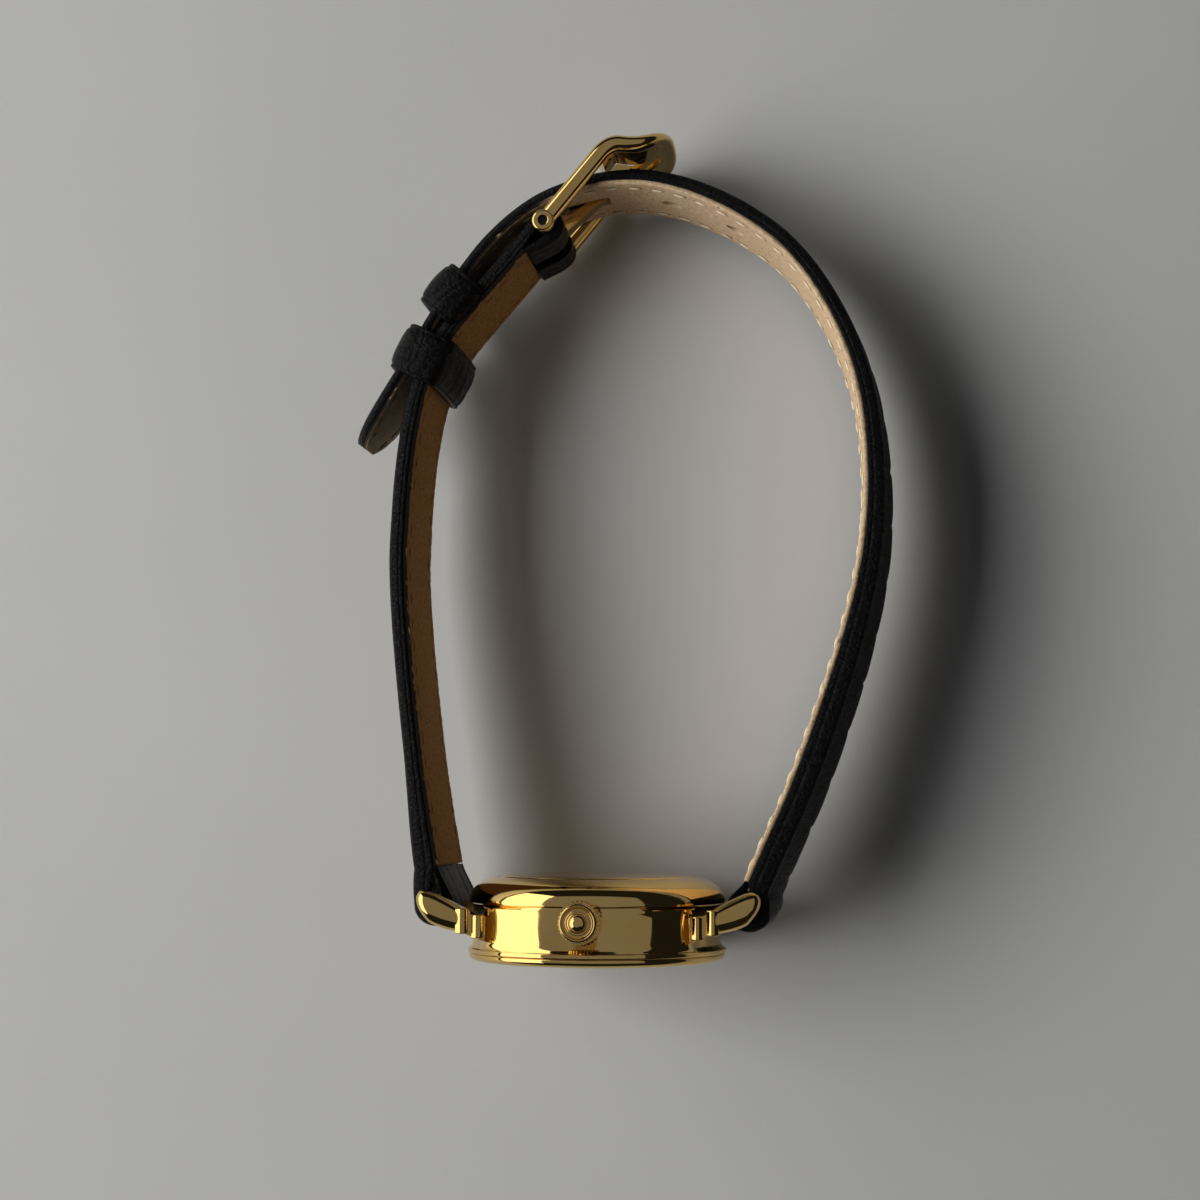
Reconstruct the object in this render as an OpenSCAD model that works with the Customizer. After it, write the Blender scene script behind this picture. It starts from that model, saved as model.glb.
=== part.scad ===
// Small round dress watch with a narrow leather strap, buckled shut and lying on its side.
// Built about the case: X runs to six o'clock, Y to the wrist, Z to the crown, and the
// whole watch is then leaned until the bezel's rim and the buckle stand on one plane.

/* [Case] */
// Outside radius of the case band
case_r = 11.3; // [10.8:0.1:12]
// How much the band is waisted in at its middle
band_waist = 0.25; // [0:0.05:0.4]
// How far the rim at the band's front edge stands out past it
rim_proud = 0.35; // [0.2:0.05:0.6]
// Wall between the band's outside and the bore that takes the movement ring
band_wall = 0.8; // [0.6:0.05:0.9]
// From the crown's axis forward to the bezel's seam
band_front = 3.25; // [3.1:0.05:3.4]
// From the crown's axis back to the caseback's seam
band_back = 1.1; // [0.9:0.05:1.2]
// Running or seating gap between neighbouring case pieces
seat_gap = 0.02; // [0.01:0.01:0.05]

/* [Bezel and crystal] */
// Height of the bezel in front of its seam
bezel_h = 0.75; // [0.7:0.05:1]
// How far the bezel is set back from the case's rim
bezel_step = 0.1; // [0.05:0.05:0.3]
// How far the crystal's edge lies inside the case band
crystal_inset = 1.7; // [1.5:0.1:2.1]
// Thickness of the crystal
crystal_t = 0.8; // [0.7:0.05:0.9]
// Width of the ring gasket round the crystal
crystal_gasket_w = 0.35; // [0.2:0.05:0.4]

/* [Caseback] */
// Height of the caseback behind its seam
back_h = 2.5; // [2.4:0.05:2.8]
// How far the edge of the caseback's flat lies inside the case band
back_slope_w = 2.3; // [2:0.1:3]
// Thickness of the caseback's wall
back_wall = 0.6; // [0.4:0.05:0.8]
// How far the caseback stands out past the band
back_proud = 0.25; // [0.05:0.05:0.3]
// Depth of the lip that snaps into the case bore
back_lip = 0.6; // [0.4:0.05:0.8]

/* [Lugs and spring bars] */
// Room beside the strap between a pair of lugs
strap_clear = 0.2; // [0.1:0.05:0.3]
// Thickness of a lug
lug_t = 2.1; // [1.8:0.1:2.4]
// From the band's outside to a spring bar
bar_out = 2.3; // [2:0.1:2.7]
// From the crown's level to a spring bar, towards the wrist
bar_y = 0.9; // [0.7:0.1:1.1]
// Radius of a spring bar's tube
bar_tube_r = 0.75; // [0.6:0.05:0.85]
// Radius of a spring bar's plunger
plunger_r = 0.4; // [0.3:0.05:0.45]
// How deep a plunger sits in its lug
plunger_tip = 0.8; // [0.6:0.1:1.2]
// How far a plunger can be pressed in
plunger_travel = 1; // [0.9:0.1:1.2]

/* [Crown and stem] */
// Radius of the crown over its teeth
crown_r = 1.85; // [1.6:0.05:2.1]
// Height of the crown
crown_h = 2.9; // [2.4:0.1:3.4]
// Number of teeth round the crown
crown_teeth = 30; // [20:2:36]
// Gap between the case and the pushed-in crown
crown_gap = 0.4; // [0.2:0.1:0.6]
// How far the crown pulls out to set the hands
crown_pull = 0.9; // [0.5:0.1:1.2]
// Radius of the stem
stem_r = 0.4; // [0.35:0.05:0.45]
// Wall of the crown tube
tube_wall = 0.2; // [0.15:0.05:0.25]
// Running clearance of turning pieces
run_gap = 0.05; // [0.03:0.01:0.08]

/* [Movement] */
// Width of the ring that holds the main plate in the case bore
ring_w = 1.7; // [1.5:0.1:1.9]
// Thickness of the main plate
plate_t = 0.8; // [0.6:0.05:0.9]
// From the crown's axis forward to the plate's dial side
plate_front = 1.4; // [1.35:0.05:1.5]
// Thickness of the dial
dial_t = 0.3; // [0.2:0.05:0.35]
// Gap between plate and dial, which holds the motion work
motion_gap = 0.55; // [0.55:0.05:0.7]
// From the crown's axis back to the train bridge
bridge_y = 1.25; // [1.2:0.05:1.4]
// Thickness of the train bridge
bridge_t = 0.35; // [0.25:0.05:0.45]
// Radius of the battery
battery_r = 2.9; // [2.7:0.1:2.95]
// Height of the battery
battery_h = 2.1; // [1.9:0.1:2.2]
// Module of the wheels between rotor and centre
train_module = 0.1; // [0.09:0.005:0.1]
// Radius of the wheels' arbors
arbor_r = 0.12; // [0.1:0.01:0.15]

/* [Hands and markers] */
// Length of the minute hand from the centre
minute_len = 7.4; // [6.5:0.1:8]
// Length of the hour hand from the centre
hour_len = 4.9; // [4:0.1:5.5]
// Thickness of the hands
hand_t = 0.1; // [0.1:0.05:0.15]
// Length of an hour marker
marker_len = 1.3; // [1:0.1:1.6]
// Height of an hour marker over the dial
marker_h = 0.2; // [0.15:0.05:0.25]
// Time shown, in minutes after twelve
time_shown = 610; // [0:1:719]

/* [Strap] */
// Width of the strap between the lugs
strap_w_lug = 12.6; // [11.6:0.1:12.8]
// Width of the strap at the buckle
strap_w_tail = 10; // [9:0.1:10.4]
// Thickness of the upper leather at its edges
leather_t = 1.25; // [1.1:0.05:1.4]
// How far the padding lifts the long piece's middle near the lugs
padding_h = 1.1; // [0.6:0.1:1.2]
// Thickness of the long piece's leather at its edges near the lugs
padded_edge_t = 2; // [1.8:0.1:2.2]
// Thickness of the tail's upper leather
tail_t = 0.75; // [0.6:0.05:0.9]
// Thickness of the lining
lining_t = 0.45; // [0.4:0.05:0.6]
// Thickness of the lining under the tail
tail_lining_t = 0.35; // [0.25:0.05:0.4]
// Length of the slot that each tongue hole makes
hole_l = 3; // [2:0.1:3.4]
// Width of a tongue hole
hole_w = 1.4; // [1.2:0.1:1.6]
// Spacing of the tongue holes
hole_pitch = 6.6; // [6:0.1:7]

/* [Keepers] */
// Width of a keeper along the strap
keeper_w = 4.5; // [4:0.1:5]
// Thickness of a keeper's leather
keeper_t = 0.5; // [0.4:0.05:0.7]
// Slack between a keeper and the strap
keeper_slack = 0.15; // [0.1:0.05:0.25]
// Gap between the two keepers, which the free one can close
keeper_gap = 1.2; // [1:0.1:2]

/* [Buckle] */
// Outside width of the buckle
buckle_w = 13.8; // [13:0.1:14.4]
// Thickness of the buckle's arms, across the strap
arm_t = 1.4; // [1.2:0.1:1.5]
// Depth of the buckle's arms, seen from the side
arm_d = 1.5; // [1.3:0.1:1.6]
// Length of the arms from the bar to the crank
arm_len = 9.4; // [9:0.1:10]
// Length of the front bow past the crank
bow_len = 5; // [4.5:0.1:5.5]
// Width of the bow's front bar, which is flatter than the arms
bow_w = 2.4; // [1.6:0.1:2.8]
// Thickness of the bow's front bar
bow_d = 1.2; // [1:0.05:1.4]
// Dip in the bow's profile between the crank and the front bar
bow_dip = 0.5; // [0:0.05:0.7]
// Depth of the pin hole left at each end of the buckle's bar
pin_recess = 0.3; // [0.1:0.05:0.5]
// Radius of the bar that the buckle turns on
buckle_bar_r = 0.5; // [0.4:0.05:0.55]
// Width of the tongue at its root
tongue_w = 1.8; // [1.6:0.1:2]
// Length of the tongue from the bar
tongue_len = 13.9; // [13.6:0.1:14.2]
// Thickness of the tongue
tongue_t = 0.8; // [0.7:0.05:0.9]

/* [Hidden] */

$fn = 96;
gold = "#c9a65a";
steel = "#b9bcc0";
brass = "#b8964a";
black_leather = "#1b1b1e";
suede = "#c9a880";

// Case sizes that follow the band and the strap
case_bore_r = case_r - band_wall;
crystal_r = case_r - crystal_inset;
back_flat_r = case_r - back_slope_w;
plate_r = case_bore_r - ring_w;
bar_x = case_r + bar_out;
lug_gap = strap_w_lug + 2 * strap_clear;

// Case levels along Y
rim_r = case_r + rim_proud;
rim_h = 0.45;
rim_y = -band_front + rim_h / 2;
bezel_front = -band_front - bezel_h;
crystal_front = bezel_front + 0.05;
back_y = band_back + back_h;
back_r = case_r + back_proud;

// Movement levels along Y
plate_back = plate_t - plate_front;
dial_back = -plate_front - motion_gap;
dial_front = dial_back - dial_t;
hour_hand_y = dial_front - marker_h - 0.1 - hand_t;
minute_hand_y = hour_hand_y - 0.15 - hand_t;
dial_r = case_bore_r - 0.1;

// Where the movement's pieces stand on a plate of the drawn radius, as [x, z]
drawn_plate_r = 8.8;
plate_scale = plate_r / drawn_plate_r;

// Wheel train: teeth, and where each wheel stands on the plate as [x, z]
wheel_module = plate_scale * train_module;
cannon_teeth = 12;
minute_wheel_teeth = 36;
minute_pinion_teeth = 10;
hour_wheel_teeth = 40;
centre_teeth = 40;
third_pinion_teeth = 8;
third_teeth = 36;
intermediate_pinion_teeth = 10;
intermediate_teeth = 48;
rotor_pinion_teeth = 8;
motion_module = 0.1;
hour_module = motion_module * (cannon_teeth + minute_wheel_teeth)
    / (minute_pinion_teeth + hour_wheel_teeth);
rotor_module = 0.8 * wheel_module;
minute_dir = 60;
third_dir = 200;
intermediate_dir = 250;
rotor_dir = 180;
function away(from, dir, dist) = from + dist * [cos(dir), sin(dir)];
centre_at = [0, 0];
minute_wheel_at = away(centre_at, minute_dir,
    motion_module * (cannon_teeth + minute_wheel_teeth) / 2);
third_at = away(centre_at, third_dir, wheel_module * (centre_teeth + third_pinion_teeth) / 2);
intermediate_at = away(third_at, intermediate_dir,
    wheel_module * (third_teeth + intermediate_pinion_teeth) / 2);
rotor_at = away(intermediate_at, rotor_dir,
    rotor_module * (intermediate_teeth + rotor_pinion_teeth) / 2);
battery_at = plate_scale * [4.4, -3];
cell_r = plate_scale * battery_r;
coil_at = plate_scale * [-2.4, -6];
coil_r = 0.9;
coil_l = plate_scale * 5.2;
core_r = 0.25;
core_out = 0.5;
screw_at = plate_scale * [[-6.4, 1.2], [2, -6.6], [-1.8, 2.9]];
screw_r = 0.5;

// Loop of the strap, seen along Z. The routes follow the seam between leather and lining,
// and their lug ends move with the spring bars.
routed_bar_x = 13.6;
loop_h = 67;
function hung(p, side) = [p[0] + side * (bar_x - routed_bar_x) * max(0, 1 - p[1] / loop_h), p[1]];
short_route = [for (p = [
    [-13.4, 1.2], [-13.9, 4.3], [-14.8, 9.4], [-15.6, 14.6], [-16.7, 24.2], [-17.2, 31],
    [-17.1, 36], [-16.8, 40.6], [-16.2, 45], [-15.2, 48.9], [-13.2, 52.7], [-10.4, 56.1],
    [-7.6, 58.7], [-5.9, 60.2], [-4.9, 61.3]
]) hung(p, -1)];
long_route = [for (p = [
    [12.9, 1], [13.9, 3.1], [15.5, 6.7], [17.2, 10.4], [18.8, 14.4], [20.4, 18.8],
    [22, 23.6], [23.4, 28.6], [24.3, 33.2], [24.7, 38.3], [24.5, 43.5], [23.8, 47.9],
    [22.3, 52.4], [19.9, 56.9], [17.1, 60.4], [13.8, 63], [10.6, 64.8], [7.6, 66],
    [4.4, 66.7], [0.8, 66.7], [-2.3, 66], [-4.5, 65.2], [-6.4, 64.1], [-8.4, 62.5],
    [-10.4, 60.4], [-12.9, 57], [-15.2, 53.3], [-17.3, 49.7], [-19.6, 46.1], [-21.9, 43]
]) hung(p, 1)];
path_steps = 2;
function spline(p, q, r, s, t) = 0.5 * (2 * q + (r - p) * t
    + (2 * p - 5 * q + 4 * r - s) * t * t + (3 * q - p - 3 * r + s) * t * t * t);
function smooth(route) = let (n = len(route)) [
    for (i = [0 : n - 2], k = [0 : path_steps - 1])
        spline(route[max(i - 1, 0)], route[i], route[i + 1], route[min(i + 2, n - 1)],
            k / path_steps),
    route[n - 1]
];
function heading(path, i) = let (d = path[min(i + 1, len(path) - 1)] - path[max(i - 1, 0)])
    d / norm(d);
// Square to the path, on the side away from the wrist
function outward(path, i, side) = let (d = heading(path, i)) side * [d[1], -d[0]];
function run_to(path, i) = i == 0 ? 0 : norm(path[i] - path[i - 1]) + run_to(path, i - 1);
function fade(x, a, b) = let (t = min(1, max(0, (x - a) / (b - a)))) t * t * (3 - 2 * t);
short_path = smooth(short_route);
long_path = smooth(long_route);
short_len = run_to(short_path, len(short_path) - 1);
long_len = run_to(long_path, len(long_path) - 1);

// Buckle: its bar, the crank and the tip of its bow
buckle_at = [-4.4, 62.7];
arm_dir = 50.5;
bow_dir = 13;
tongue_dir = 40;
function along(from, dir, dist) = from + dist * [cos(dir), sin(dir)];
crank_at = along(buckle_at, arm_dir, arm_len);
bow_at = along(crank_at, bow_dir, bow_len);
arm_z = (buckle_w - arm_t) / 2;
eye_r = 0.95;
tongue_eye_r = 1.15;
tongue_slot_w = tongue_w + 0.6;
strap_eye_r = 1.65;

// Rest: the lean that puts the bezel's rim and the buckle's side on one plane
lean = atan2(rim_r - buckle_w / 2, bow_at[1] - rim_y);

module lay() {
    rotate([-lean, 0, 0])
        translate([0, -back_y, 0])
            children();
}

// Stands a turned or pressed piece on the case axis: its height runs along Y
module on_case_axis(at = [0, 0], y = 0) {
    translate([at[0], y, at[1]])
        rotate([-90, 0, 0])
            children();
}

module turned(profile) {
    on_case_axis()
        rotate_extrude()
            polygon(profile);
}

module ring(outer_r, inner_r, y0, y1) {
    on_case_axis(y = y0)
        difference() {
            cylinder(r = outer_r, h = y1 - y0);
            translate([0, 0, -1])
                cylinder(r = inner_r, h = y1 - y0 + 2);
        }
}

module disc(at, r, y0, y1) {
    on_case_axis(at, y0)
        cylinder(r = r, h = y1 - y0);
}

// Flat tooth outline: four corners to a tooth, thinned so that meshing teeth stay clear
function tooth_point(n, m, k) = let (
    i = floor(k / 4),
    c = k % 4,
    r = n * m / 2 + (c == 1 || c == 2 ? 0.75 : -1) * m,
    half = (c == 0 || c == 3 ? 0.27 : 0.1) * 360 / n,
    a = i * 360 / n + (c < 2 ? -half : half)
) r * [cos(a), sin(a)];

// A toothed wheel at a place on the plate, with the middle of a tooth at angle dir
module gear(at, teeth, m, dir, y0, y1) {
    on_case_axis(at, y0)
        rotate([0, 0, -dir])
            linear_extrude(y1 - y0)
                polygon([for (k = [0 : 4 * teeth - 1]) tooth_point(teeth, m, k)]);
}

// Angle that puts a gap of a wheel, not a tooth, towards its driver at angle dir
function gap_towards(dir, teeth) = dir + 180 + 180 / teeth;

// Solid through equal rings of points, closed at both ends
module loft(rings, flip = false) {
    n = len(rings[0]);
    last = len(rings) - 1;
    sides = [
        for (i = [0 : last - 1], j = [0 : n - 1])
            for (f = [
                [i * n + j, i * n + (j + 1) % n, (i + 1) * n + (j + 1) % n],
                [i * n + j, (i + 1) * n + (j + 1) % n, (i + 1) * n + j]
            ]) f
    ];
    caps = [[for (j = [n - 1 : -1 : 0]) j], [for (j = [0 : n - 1]) last * n + j]];
    faces = concat(sides, caps);
    polyhedron(
        points = [for (r = rings) each r],
        faces = flip ? [for (f = faces) [for (k = [len(f) - 1 : -1 : 0]) f[k]]] : faces
    );
}

// Case

module waisted_band() {
    waist_steps = 8;
    cove_h = 0.7;
    waist_y = -band_front + cove_h;
    waist_h = band_back - waist_y;
    turned(concat(
        [
            [case_bore_r, band_back], [case_bore_r, -band_front], [rim_r - 0.1, -band_front],
            [rim_r, -band_front + 0.1], [rim_r, -band_front + rim_h],
            [rim_r - rim_proud / 2, waist_y - 0.22]
        ],
        [for (i = [0 : waist_steps]) let (t = i / waist_steps)
            [case_r - band_waist * sin(180 * t), waist_y + waist_h * t]]
    ));
}

// One lug, its leaf outline extruded across and stepped down to the band by two reeds
module lug(side, face) {
    tip = bar_x + 1.5;
    root = sqrt(case_r * case_r - pow(lug_gap / 2, 2)) - 0.9;
    z0 = face > 0 ? lug_gap / 2 : -lug_gap / 2 - lug_t;
    leaf = [
        [root, 0.2], [tip - 5.3, 0.3], [tip - 4.5, 0.65], [tip - 3.7, 1.15], [tip - 2.6, 1.75],
        [tip - 1.4, 2.3], [tip - 0.6, 2.45], [tip - 0.2, 2.25], [tip, 1.7], [tip - 0.2, 0.85],
        [tip - 0.8, 0], [tip - 1.4, -0.5], [tip - 2.7, -0.95], [tip - 3.9, -1.2],
        [tip - 5, -1.5], [tip - 6, -1.95], [root, -2.1]
    ];
    translate([0, 0, z0])
        linear_extrude(lug_t)
            polygon([for (p = leaf) [side * p[0], p[1]]]);
    // Each reed as its distance inside the tip, its lower end and its upper end
    for (reed = [[4.15, -1.25, 0.85], [5.5, -1.65, 0.3]])
        translate([side * (tip - reed[0]), reed[1], face * (lug_gap / 2 + lug_t - 0.35)])
            rotate([-90, 0, 0])
                cylinder(r = 0.6, h = reed[2] - reed[1], $fn = 24);
}

module case_middle() {
    lay() color(gold)
        difference() {
            union() {
                waisted_band();
                difference() {
                    for (side = [-1, 1], face = [-1, 1])
                        lug(side, face);
                    case_room(case_bore_r + 0.3);
                }
            }
            for (side = [-1, 1])
                translate([side * bar_x, bar_y, 0])
                    cylinder(r = plunger_r + run_gap, h = lug_gap + 2 * plunger_tip + 0.2,
                        center = true, $fn = 32);
            cylinder(r = stem_r + run_gap + tube_wall, h = rim_r + 2, $fn = 32);
            gasket_groove();
        }
}

// Room inside the case for what stands in it
module case_room(r) {
    on_case_axis(y = -band_front - 1)
        cylinder(r = r, h = band_front + band_back + 2);
}

gasket_w = 0.28;
module gasket_groove() {
    ring(case_bore_r + gasket_w, case_bore_r - 0.01, band_back - gasket_w, band_back + 0.01);
}

module caseback_gasket() {
    lay() color("#202020")
        ring(case_bore_r + gasket_w - seat_gap, case_bore_r + seat_gap,
            band_back - gasket_w + seat_gap, band_back);
}

module bezel() {
    seam = -band_front;
    lip_r = crystal_r - 0.45;
    outer_r = rim_r - bezel_step;
    lay() color(gold)
        turned([
            [outer_r, seam], [outer_r, seam - 0.3], [outer_r - 0.12, seam - 0.5],
            [outer_r - 0.4, seam - 0.66], [outer_r - 0.8, bezel_front + 0.02],
            [outer_r - 1.1, bezel_front],
            [crystal_r + crystal_gasket_w, bezel_front],
            [crystal_r + crystal_gasket_w, crystal_front + crystal_t],
            [lip_r, crystal_front + crystal_t], [lip_r, dial_front],
            [case_bore_r - seat_gap, dial_front], [case_bore_r - seat_gap, seam]
        ]);
}

module crystal() {
    chamfer = 0.2;
    lay() color("#dfe9ee", 0.4)
        turned([
            [0, crystal_front], [crystal_r - chamfer, crystal_front],
            [crystal_r, crystal_front + chamfer], [crystal_r, crystal_front + crystal_t],
            [0, crystal_front + crystal_t]
        ]);
}

module crystal_gasket() {
    lay() color("#e8e4d8")
        ring(crystal_r + crystal_gasket_w, crystal_r, crystal_front + 0.15,
            crystal_front + crystal_t);
}

module caseback() {
    shoulder = 0.55;
    inner_y = back_y - back_wall;
    lip_r = case_bore_r - seat_gap;
    lay() color(gold)
        difference() {
            turned([
                [0, back_y], [back_flat_r, back_y], [back_flat_r + 1.1, back_y - 0.35],
                [back_r - 0.75, back_y - 0.75], [back_r - 0.25, back_y - 1.3],
                [back_r, band_back + shoulder],
                [back_r, band_back], [lip_r, band_back], [lip_r, band_back - back_lip],
                [lip_r - back_wall, band_back - back_lip], [lip_r - back_wall, inner_y - 1],
                [back_flat_r - 0.2, inner_y], [0, inner_y]
            ]);
            ring(back_flat_r + 0.12, back_flat_r - 0.12, back_y - 0.12, back_y + 1);
            cylinder(r = stem_r + run_gap + tube_wall + 0.1, h = rim_r, $fn = 32);
        }
}

// Crown and setting work

crown_base = case_r + crown_gap;
tube_r = stem_r + run_gap + tube_wall;
tube_in = case_bore_r - 0.9;
module crown_tube() {
    tube_out = crown_base + 0.6;
    lay() color(gold)
        translate([0, 0, tube_in])
            difference() {
                cylinder(r = tube_r, h = tube_out - tube_in, $fn = 48);
                translate([0, 0, -1])
                    cylinder(r = stem_r + run_gap, h = tube_out - tube_in + 2, $fn = 48);
            }
}

module crown() {
    socket_r = tube_r + 0.3;
    socket_h = 1.3;
    boss_h = 0.35;
    lay() color(gold)
        translate([0, 0, crown_base])
            difference() {
                union() {
                    linear_extrude(crown_h - 0.25)
                        polygon([for (k = [0 : 4 * crown_teeth - 1]) crown_tooth(k)]);
                    rotate_extrude()
                        polygon([
                            [0, 0.3], [crown_r - 0.3, 0.3], [crown_r - 0.2, crown_h - 0.25],
                            [crown_r - 0.35, crown_h], [crown_r - 0.6, crown_h - 0.15],
                            [crown_r - 0.9, crown_h - 0.2], [crown_r - 1.05, crown_h + 0.1],
                            [0.35, crown_h + boss_h - 0.08], [0, crown_h + boss_h]
                        ]);
                }
                translate([0, 0, -1])
                    cylinder(r = socket_r, h = socket_h + 1, $fn = 48);
                translate([0, 0, -1])
                    cylinder(r = stem_r, h = crown_h - 0.4 + 1, $fn = 48);
            }
}

function crown_tooth(k) = let (
    i = floor(k / 4),
    c = k % 4,
    r = c == 1 || c == 2 ? crown_r : crown_r - 0.16,
    half = (c == 0 || c == 3 ? 0.36 : 0.18) * 360 / crown_teeth,
    a = i * 360 / crown_teeth + (c < 2 ? -half : half)
) r * [cos(a), sin(a)];

module crown_gasket() {
    lay() color("#202020")
        translate([0, 0, crown_base + 0.8])
            difference() {
                cylinder(r = tube_r + 0.28, h = 0.4, $fn = 48);
                translate([0, 0, -1])
                    cylinder(r = stem_r + 0.02, h = 3, $fn = 48);
            }
}

stem_in = 3.4;
groove_z = 6;
groove_w = 0.5;
pinion_z = 4;
pinion_h = 1.2;
stem_flat = 0.3;
module setting_stem() {
    lay() color(steel)
        difference() {
            translate([0, 0, stem_in])
                cylinder(r = stem_r, h = crown_base + crown_h - 0.6 - stem_in, $fn = 48);
            translate([0, 0, groove_z])
                difference() {
                    cylinder(r = stem_r + 1, h = groove_w, $fn = 48);
                    translate([0, 0, -1])
                        cylinder(r = stem_r - 0.2, h = groove_w + 2, $fn = 48);
                }
            for (side = [-1, 1])
                translate([side * (stem_flat + stem_r), 0, pinion_z + pinion_h / 2])
                    cube([2 * stem_r, 4 * stem_r, pinion_h + 1.4], center = true);
        }
}

module sliding_pinion() {
    teeth = 12;
    tooth_m = 0.135;
    lay() color(steel)
        translate([0, 0, pinion_z])
            difference() {
                linear_extrude(pinion_h)
                    polygon([for (k = [0 : 4 * teeth - 1]) tooth_point(teeth, tooth_m, k)]);
                translate([0, 0, -1])
                    linear_extrude(pinion_h + 2)
                        intersection() {
                            circle(r = stem_r, $fn = 48);
                            square([2 * stem_flat, 2 * stem_r], center = true);
                        }
            }
}

lever_t = 0.3;
module setting_lever() {
    nose_w = groove_w - 0.1;
    nose_l = 2.3;
    lay() color(steel)
        translate([0, 0, groove_z + 0.05]) {
            translate([-nose_l, -lever_t / 2, 0])
                difference() {
                    cube([nose_l, lever_t, nose_w]);
                    translate([nose_l, lever_t / 2, -1])
                        cylinder(r = stem_r - 0.2 + run_gap, h = 3, $fn = 48);
                }
            translate([-nose_l - 0.8, plate_back + seat_gap, -0.5])
                cube([1, lever_t / 2 - plate_back - seat_gap, nose_w + 1]);
        }
}

// Movement

module movement_ring() {
    lay() color("#e9e6dc")
        difference() {
            ring(case_bore_r - back_wall - 0.1, plate_r + seat_gap, -plate_front, bridge_y + 0.7);
            translate([0, 0, plate_r - 1])
                cylinder(r = tube_r + 0.15, h = 4, $fn = 32);
        }
}

module main_plate() {
    pillar_r = 0.8;
    lay() color(brass)
        difference() {
            union() {
                disc([0, 0], plate_r, -plate_front, plate_back);
                for (at = screw_at)
                    disc(at, pillar_r, plate_back - 0.01, bridge_y);
                disc([0, 0], case_bore_r - seat_gap, -plate_front - 0.25, -plate_front);
                translate([-1, plate_back - 0.01, plate_r - 1.3])
                    cube([2, 0.7 - plate_back, 1]);
                ring(dial_r - 0.5, dial_r - 1.3, dial_back, -plate_front - 0.2);
            }
            disc([0, 0], arbor_r * 2 + run_gap, -9, 9);
            for (at = [third_at, intermediate_at, rotor_at, minute_wheel_at])
                disc(at, arbor_r + run_gap, -9, 9);
            for (at = screw_at)
                disc(at, screw_r / 2, plate_back, 9);
            disc([0, 0], hour_wheel_teeth * hour_module / 2 + 0.5, dial_back - 1, -plate_front);
            disc(minute_wheel_at, minute_wheel_teeth * motion_module / 2 + 0.4,
                dial_back - 1, -plate_front);
            translate([0, 0, stem_in - 0.5])
                cylinder(r = stem_r + run_gap, h = plate_r, $fn = 32);
            translate([0, 0, pinion_z - 0.4])
                cylinder(r = 1.1, h = pinion_h + crown_pull + 0.8, $fn = 32);
        }
}

module bridge_outline() {
    hull_pad = 1;
    for (at = screw_at)
        translate(at)
            circle(r = hull_pad);
    polygon([
        [-6.9, 1.9], [-6.6, -3.6], [-4.6, -4.9], [2.2, -7.2], [2.2, -5.8], [0.9, -2.6],
        [1, 1.2], [-1, 3.7]
    ]);
}

module train_bridge() {
    lay() color(steel)
        difference() {
            translate([0, bridge_y + bridge_t, 0])
                rotate([90, 0, 0])
                    linear_extrude(bridge_t)
                        bridge_outline();
            disc([0, 0], arbor_r * 2 + run_gap, -9, 9);
            for (at = [third_at, intermediate_at, rotor_at])
                disc(at, arbor_r + run_gap, -9, 9);
            for (at = screw_at)
                disc(at, screw_r / 2 + run_gap, -9, 9);
        }
}

module bridge_screws() {
    head_h = 0.3;
    lay() color(steel)
        for (at = screw_at)
            difference() {
                union() {
                    disc(at, screw_r / 2, plate_back + 0.1, bridge_y + bridge_t);
                    disc(at, screw_r * 1.2, bridge_y + bridge_t, bridge_y + bridge_t + head_h);
                }
                translate([at[0], bridge_y + bridge_t + head_h, at[1]])
                    cube([2, 0.2, 0.15], center = true);
            }
}

battery_y = plate_back + 0.02;
module battery() {
    lip = 0.35;
    lay() color(steel)
        union() {
            disc(battery_at, cell_r - lip, battery_y, battery_y + 0.3);
            disc(battery_at, cell_r, battery_y + 0.3, battery_y + battery_h);
        }
}

module battery_clamp() {
    clamp_t = 0.15;
    clamp_y = battery_y + battery_h;
    post_at = plate_scale * [7.4, 1.6];
    dir = atan2(post_at[1] - battery_at[1], post_at[0] - battery_at[0]);
    lay() color("#c8b27a") {
        translate([battery_at[0], clamp_y, battery_at[1]])
            rotate([0, -dir, 0])
                translate([-1.4, 0, -0.6])
                    cube([norm(post_at - battery_at) + 1.6, clamp_t, 1.2]);
        disc(post_at, 0.45, plate_back, clamp_y);
    }
}

module coil() {
    lay() color("#a5562a")
        translate([coil_at[0] - coil_l / 2, plate_back + coil_r, coil_at[1]])
            rotate([0, 90, 0])
                union() {
                    cylinder(r = coil_r, h = coil_l, $fn = 48);
                    translate([0, 0, -core_out])
                        cylinder(r = core_r, h = coil_l + 2 * core_out, $fn = 24);
                }
}

stator_y = plate_back + coil_r + core_r;
module stator() {
    stator_t = 0.3;
    hole_r = 0.85;
    strip_w = 0.8;
    core_end = coil_at[0] - coil_l / 2 - core_out;
    lay() color("#8f9298")
        difference() {
            union() {
                translate([core_end - 0.3, stator_y, coil_at[1] - 0.2])
                    cube([strip_w, stator_t, rotor_at[1] - coil_at[1]]);
                disc(rotor_at, hole_r + 0.7, stator_y, stator_y + stator_t);
                translate([core_end - 0.3, plate_back, coil_at[1] - 0.2])
                    cube([0.28, stator_y - plate_back, 0.4]);
            }
            disc(rotor_at, hole_r, stator_y - 1, stator_y + 2);
        }
}

board_y = 0.85;
module circuit_board() {
    board_t = 0.2;
    lay() color("#2f6b3c")
        translate([0, board_y + board_t, 0])
            rotate([90, 0, 0])
                linear_extrude(board_t)
                    polygon(plate_scale * [[1.6, 1.4], [6.5, 1.4], [7.5, 2.8], [7.2, 4.2],
                        [5.2, 6.6], [2.9, 7.8], [1.6, 7.9]]);
}

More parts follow.
